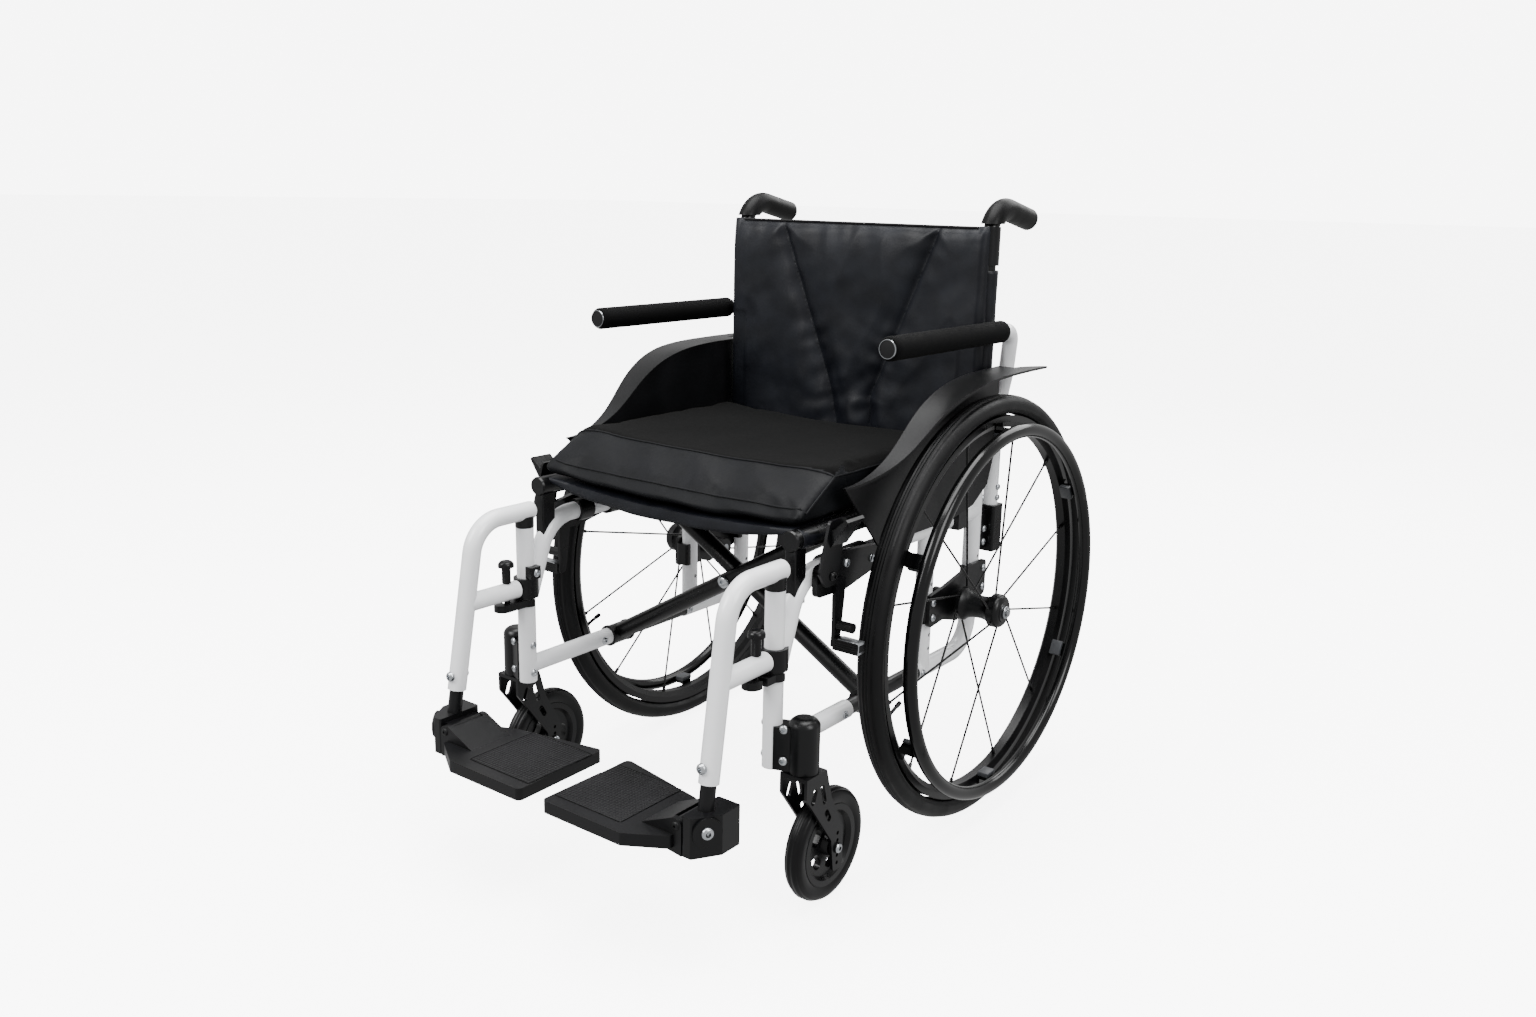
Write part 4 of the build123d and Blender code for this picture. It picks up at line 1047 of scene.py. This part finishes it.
@dataclass
class CasterDress:
    """A caster's ribbed tyre and its bright bolt."""

    side: Side
    ribs: int = 5

    def build(self) -> None:
        """Spin the ribbed tyre and seat the bolts."""
        node, body = self.side.node("caster_tyre"), self.side.node("caster_wheel")
        low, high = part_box(node)
        centre, half, outer = middle(node), (high.x - low.x) / 2, (high.z - low.z) / 2
        inner = 0.054
        outline = [(-half * 0.82, inner), (-half * 0.98, inner + 0.004), (-half, inner + 0.009)]
        count = self.ribs * 8
        for k in range(count + 1):
            turn = pi * k / count
            rib = 0.0
            if 0 < k < count:
                rib = 0.0010 * (0.5 - 0.5 * cos(2 * pi * self.ribs * k / count)) * sin(turn) ** 0.5
            radius = inner + 0.009 + (outer - inner - 0.009) * sin(turn) ** 0.75 - rib
            outline.append((-half * cos(turn), radius))
        outline += [(half * 0.98, inner + 0.004), (half * 0.82, inner)]
        tyre = settle(
            node + "_ribbed", turned(outline, centre, Vector((1, 0, 0)), 120, closed=True), CASTER_RUBBER,
            body, 50,
        )
        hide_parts(node)
        fork_low, fork_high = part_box(self.side.node("caster_fork"))
        for way, face in ((1, fork_high.x), (-1, fork_low.x)):
            Bolt(
                self.side.node(f"caster_bolt_{'outer' if way * self.side.value > 0 else 'inner'}"),
                Vector((face - way * 0.0030, centre.y, centre.z)), Vector((way, 0, 0)),
                self.side.node("caster_fork"), 0.0065, 0.0035,
            ).build()


# ---- Footrests ----
@dataclass
class FootplateTread:
    """The raised tread on a footplate: a fine grid of pips inside a border."""

    side: Side
    pitch: float = 0.0050
    inset_x: float = 0.078
    inset_y: float = -0.3855
    inset_half: float = 0.0545
    top: float = 0.160
    pip: float = 0.0030
    rise: float = 0.0006

    def build(self) -> None:
        """Cut the panel from a grid and raise its pips."""
        body = self.side.node("footplate")
        # The panel fills the plate's shallow inset
        width = 2 * self.inset_half
        cells = round(width / self.pitch)
        shape = bmesh.new()
        bmesh.ops.create_grid(shape, x_segments=cells, y_segments=cells, size=0.5)
        bmesh.ops.scale(shape, vec=(width, width, 1), verts=shape.verts)
        centre = (self.side.value * self.inset_x, self.inset_y, self.top + self.rise * 0.4)
        bmesh.ops.translate(shape, vec=centre, verts=shape.verts)
        pips = shape.faces[:]
        bmesh.ops.inset_individual(
            shape, faces=pips, thickness=(self.pitch - self.pip) / 2, depth=self.rise * 0.6,
            use_even_offset=True,
        )
        rim = [e for e in shape.edges if e.is_boundary]
        skirt = bmesh.ops.extrude_edge_only(shape, edges=rim)
        moved = [v for v in skirt["geom"] if isinstance(v, bmesh.types.BMVert)]
        bmesh.ops.translate(shape, vec=(0, 0, -self.rise), verts=moved)
        bmesh.ops.holes_fill(shape, edges=[e for e in shape.edges if e.is_boundary], sides=0)
        settle(self.side.node("footplate_tread"), shape, MOULDED_PLASTIC, body, 20)


@dataclass
class HangerDetails:
    """Bolts on a hanger tube and its footrest."""

    side: Side

    def build(self) -> None:
        """Seat the bolts."""
        body = self.side.node("hanger")
        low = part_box(self.side.node("hanger_tube"))[0]
        w = self.side.value
        foot = Vector((w * 0.2195, low.y + 0.0138, low.z + 0.022))
        Bolt(
            self.side.node("hanger_bolt_front"), foot + Vector((0, -0.0123, 0.001)), Vector((0, -1, -0.05)),
            body, 0.0068, 0.0042,
        ).build()
        # The hinge block's disc faces forward and outward
        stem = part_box(self.side.node("footrest_stem"))
        facing = Vector((w * 32, -20, 0)).normalized()
        disc = Vector((w * 0.2362, stem[0].y + 0.0163, 0.169)) + facing * 0.0037
        Bolt(self.side.node("footplate_disc_bolt"), disc, facing, body, 0.0076, 0.0040).build()
        Bolt(self.side.node("hanger_bolt_rear"), foot + Vector((0, 0.0123, 0)), Vector((0, 1, 0)), body,
             0.0055, 0.0036).build()


@dataclass
class BrakeShoe:
    """The ribbed aluminium sleeve on a brake's shoe, with its open black end."""

    side: Side
    wall: float = 0.0006
    ribs: int = 4

    def build(self) -> None:
        """Shape the sleeve round the arm's shoe and cut its ribs."""
        low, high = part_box(self.side.node("brake_arm"))
        w = self.side.value
        outer = high.x if w > 0 else -low.x
        y_low, y_high, foot = low.y + 0.001, low.y + 0.0155, low.z
        corner = Vector((outer - 0.031, y_low - self.wall, foot - self.wall))
        far = Vector((outer + self.wall, y_high + self.wall, foot + 0.015 + self.wall))
        shape = brick(corner, far, 0.0012)
        pitch = (far.z - corner.z - 0.003) / self.ribs
        for k in range(1, self.ribs):
            z = corner.z + 0.0015 + pitch * k
            for step in (-0.0005, 0.0005):
                bmesh.ops.bisect_plane(
                    shape, geom=shape.verts[:] + shape.edges[:] + shape.faces[:], plane_co=(0, 0, z + step),
                    plane_no=(0, 0, 1),
                )
            ring = [v for v in shape.verts if abs(v.co.z - z) < 0.0006]
            centred = Matrix.Translation((0, -(y_low + y_high) / 2, 0))
            bmesh.ops.scale(shape, vec=(1.0, 0.88, 1.0), verts=ring, space=centred)
        mirror_x(shape, w)
        settle(self.side.node("brake_shoe"), shape, SHOE_METAL, self.side.node("brake_arm"), 25)
        end_low = Vector((outer, y_low + 0.002, foot + 0.003))
        end_high = Vector((outer + 0.0012, y_high - 0.002, foot + 0.012))
        end = brick(end_low, end_high, 0.0004, 1)
        mirror_x(end, w)
        settle(self.side.node("brake_shoe_end"), end, FILLED_NYLON, self.side.node("brake_arm"), 25)


@dataclass
class HandrimTabs:
    """Grey moulded clips where a handrim's tabs meet the rim."""

    side: Side
    count: int = 6
    first: float = 32.0

    def build(self) -> None:
        """Set one clip on each tab."""
        wheel, w = middle(self.side.node("rim")), self.side.value
        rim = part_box(self.side.node("rim"))
        face = rim[1].x if w > 0 else -rim[0].x
        for k in range(self.count):
            low, high = (face - 0.001, -0.0115, 0.2505), (face + 0.0165, 0.0115, 0.2575)
            shape = brick(Vector(low), Vector(high), 0.0016)
            turn = Matrix.Rotation(radians(self.first + 360 * k / self.count - 90), 4, "X")
            bmesh.ops.transform(shape, matrix=turn, verts=shape.verts)
            mirror_x(shape, w)
            bmesh.ops.translate(shape, vec=(0, wheel.y, wheel.z), verts=shape.verts)
            name = self.side.node(f"handrim_clip_{k + 1}")
            settle(name, shape, TAB_GREY, self.side.node("wheel"), 25)


@dataclass
class ArmrestBolts:
    """The two bolts that hold an armrest in its socket."""

    side: Side

    def build(self) -> None:
        """Seat both bolts on the outer side of the socket's tube."""
        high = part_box(self.side.node("armrest_tube"))[1]
        w = self.side.value
        post = Vector((w * 0.222, high.y - 0.011, 0))
        for k, z in enumerate((0.440, 0.456)):
            place = Vector((post.x + w * 0.0108, post.y, z))
            Bolt(self.side.node(f"armrest_bolt_{k + 1}"), place, Vector((w, 0, 0)), self.side.node("armrest"),
                 0.0048, 0.0030).build()


# ---- CAD nodes and the studio ----
@dataclass
class FrameDress:
    """Finishes for every CAD node that stays."""

    pairs: dict[str, Finish] = field(
        default_factory=lambda: {
            "side_frame": WHITE_POWDER, "hanger_tube": WHITE_POWDER, "armrest_tube": WHITE_POWDER,
            "lower_tube": BLACK_POWDER, "back_post": BLACK_POWDER, "push_grip": GRIP_RUBBER,
            "axle_bracket": BLACK_ANODISED, "caster_housing": BLACK_ANODISED, "rim": BLACK_POWDER,
            "tyre": TYRE_RUBBER, "spokes": BLACK_POWDER, "hub": BLACK_ANODISED,
            "quick_release_axle": CHROME, "handrim": HANDRIM_BLACK, "caster_fork": BLACK_ANODISED,
            "caster_wheel": FILLED_NYLON, "caster_tyre": CASTER_RUBBER, "seat_rail": BLACK_POWDER,
            "side_guard": MOULDED_PLASTIC, "release_knob": FILLED_NYLON, "footrest_stem": BLACK_ANODISED,
            "footplate": MOULDED_PLASTIC, "armrest_pad": FOAM_SLEEVE, "brake_lever": FILLED_NYLON,
            "brake_arm": FILLED_NYLON, "frame_brackets": FILLED_NYLON, "frame_fasteners": ZINC_STEEL,
        }
    )
    middle_nodes: dict[str, Finish] = field(
        default_factory=lambda: {
            "front_cross_tube": BLACK_POWDER, "rear_cross_tube": BLACK_POWDER, "brace_pivot_bolt": ZINC_STEEL,
            "cushion": STRETCH_KNIT, "seat_sling": COATED_NYLON, "backrest": COATED_NYLON,
        }
    )

    def build(self) -> None:
        """Dress every node."""
        for side in Side:
            for name, finish in self.pairs.items():
                dress(side.node(name), finish)
        for name, finish in self.middle_nodes.items():
            dress(name, finish)


@dataclass
class Studio:
    """A pale floor, soft lights and the camera."""

    camera_place: Vector = field(default_factory=lambda: Vector((1.0851, -1.4279, 0.8782)))
    forward: Vector = field(default_factory=lambda: Vector((-0.5853, 0.7742, -0.241)))
    up: Vector = field(default_factory=lambda: Vector((-0.162, 0.1795, 0.9703)))
    lens: float = 30.1
    room_light: float = 0.75
    backdrop: float = 7.5
    paper_glow: float = 6.0

    def build(self) -> None:
        """Make the camera, the floor, the world and the lights."""
        eye = bpy.data.cameras.new("camera")
        eye.lens, eye.sensor_width = self.lens, 36.0
        holder = bpy.data.objects.new("camera", eye)
        back = -self.forward.normalized()
        right = self.up.cross(back).normalized()
        up = back.cross(right)
        turn = Matrix((right, up, back)).transposed().to_4x4()
        holder.matrix_world = Matrix.Translation(self.camera_place) @ turn
        bpy.context.scene.collection.objects.link(holder)
        bpy.context.scene.camera = holder
        self.floor()
        self.sky()
        self.light("key", (-1.2, -2.6, 2.6), (1.6, 1.6), 110)
        self.light("right", (2.8, -0.6, 2.2), (1.4, 1.6), 60)
        self.light("back", (0.2, 2.8, 2.4), (2.6, 1.6), 60)
        self.light("top", (0.0, 0.0, 3.4), (2.6, 2.6), 190)

    def floor(self) -> None:
        """Lay a pale floor that runs to the edge of sight."""
        shape = bmesh.new()
        bmesh.ops.create_grid(shape, x_segments=1, y_segments=1, size=60)
        mesh = bpy.data.meshes.new("floor")
        shape.to_mesh(mesh)
        shape.free()
        paper = bpy.data.materials.new("white_studio_paper")
        paper.use_nodes = True
        shader = paper.node_tree.nodes["Principled BSDF"]
        shader.inputs["Base Color"].default_value = linear("FBFBFB")
        shader.inputs["Roughness"].default_value = 0.7
        shader.inputs["Specular IOR Level"].default_value = 0.2
        shader.inputs["Emission Color"].default_value = (1.0, 1.0, 1.0, 1.0)
        shader.inputs["Emission Strength"].default_value = self.paper_glow
        mesh.materials.append(paper)
        made = bpy.data.objects.new("floor", mesh)
        made.location.z = -0.0005
        # The glowing paper is seen, and throws no light or mirror image on the chair
        made.visible_diffuse = False
        made.visible_glossy = False
        bpy.context.scene.collection.objects.link(made)

    def sky(self) -> None:
        """Light the whole room evenly in white."""
        world = bpy.context.scene.world or bpy.data.worlds.new("studio")
        bpy.context.scene.world = world
        world.use_nodes = True
        tree = world.node_tree
        # The backdrop is bright, and what it throws on the chair is softer, as behind a studio's flags
        seen = add_node(tree, "ShaderNodeLightPath", {}, {}).outputs["Is Camera Ray"]
        power = add_node(
            tree, "ShaderNodeMapRange", {"To Min": self.room_light, "To Max": self.backdrop}, {"Value": seen}
        )
        ground = tree.nodes["Background"]
        ground.inputs["Color"].default_value = (1.0, 1.0, 1.0, 1.0)
        tree.links.new(power.outputs[0], ground.inputs["Strength"])

    def light(self, name: str, place: tuple, size: tuple, power: float) -> None:
        """Hang one soft rectangular light that faces the chair.

        Args:
            name: The light's name.
            place: Where it hangs.
            size: Its two sides.
            power: Its power in watts.
        """
        lamp = bpy.data.lights.new(name, "AREA")
        lamp.shape, lamp.size, lamp.size_y, lamp.energy = "RECTANGLE", size[0], size[1], power
        holder = bpy.data.objects.new(name, lamp)
        aim = Vector((0, 0, 0.4)) - Vector(place)
        holder.matrix_world = Matrix.Translation(place) @ aim.to_track_quat("-Z", "Y").to_matrix().to_4x4()
        bpy.context.scene.collection.objects.link(holder)


def main() -> None:
    """Build the chair's pieces in order."""
    logging.basicConfig(level=logging.INFO, format="%(message)s")
    Studio().build()
    FrameDress().build()
    Cushion().build()
    Backrest().build()
    SeatCloth().build()
    for side in Side:
        for part in (RearTyre, RimDetails, CasterDress, ArmPad, FootplateTread, HangerDetails, ArmrestBolts,
                     BrakeShoe, HandrimTabs):
            part(side).build()


if __name__ == "__main__":
    main()
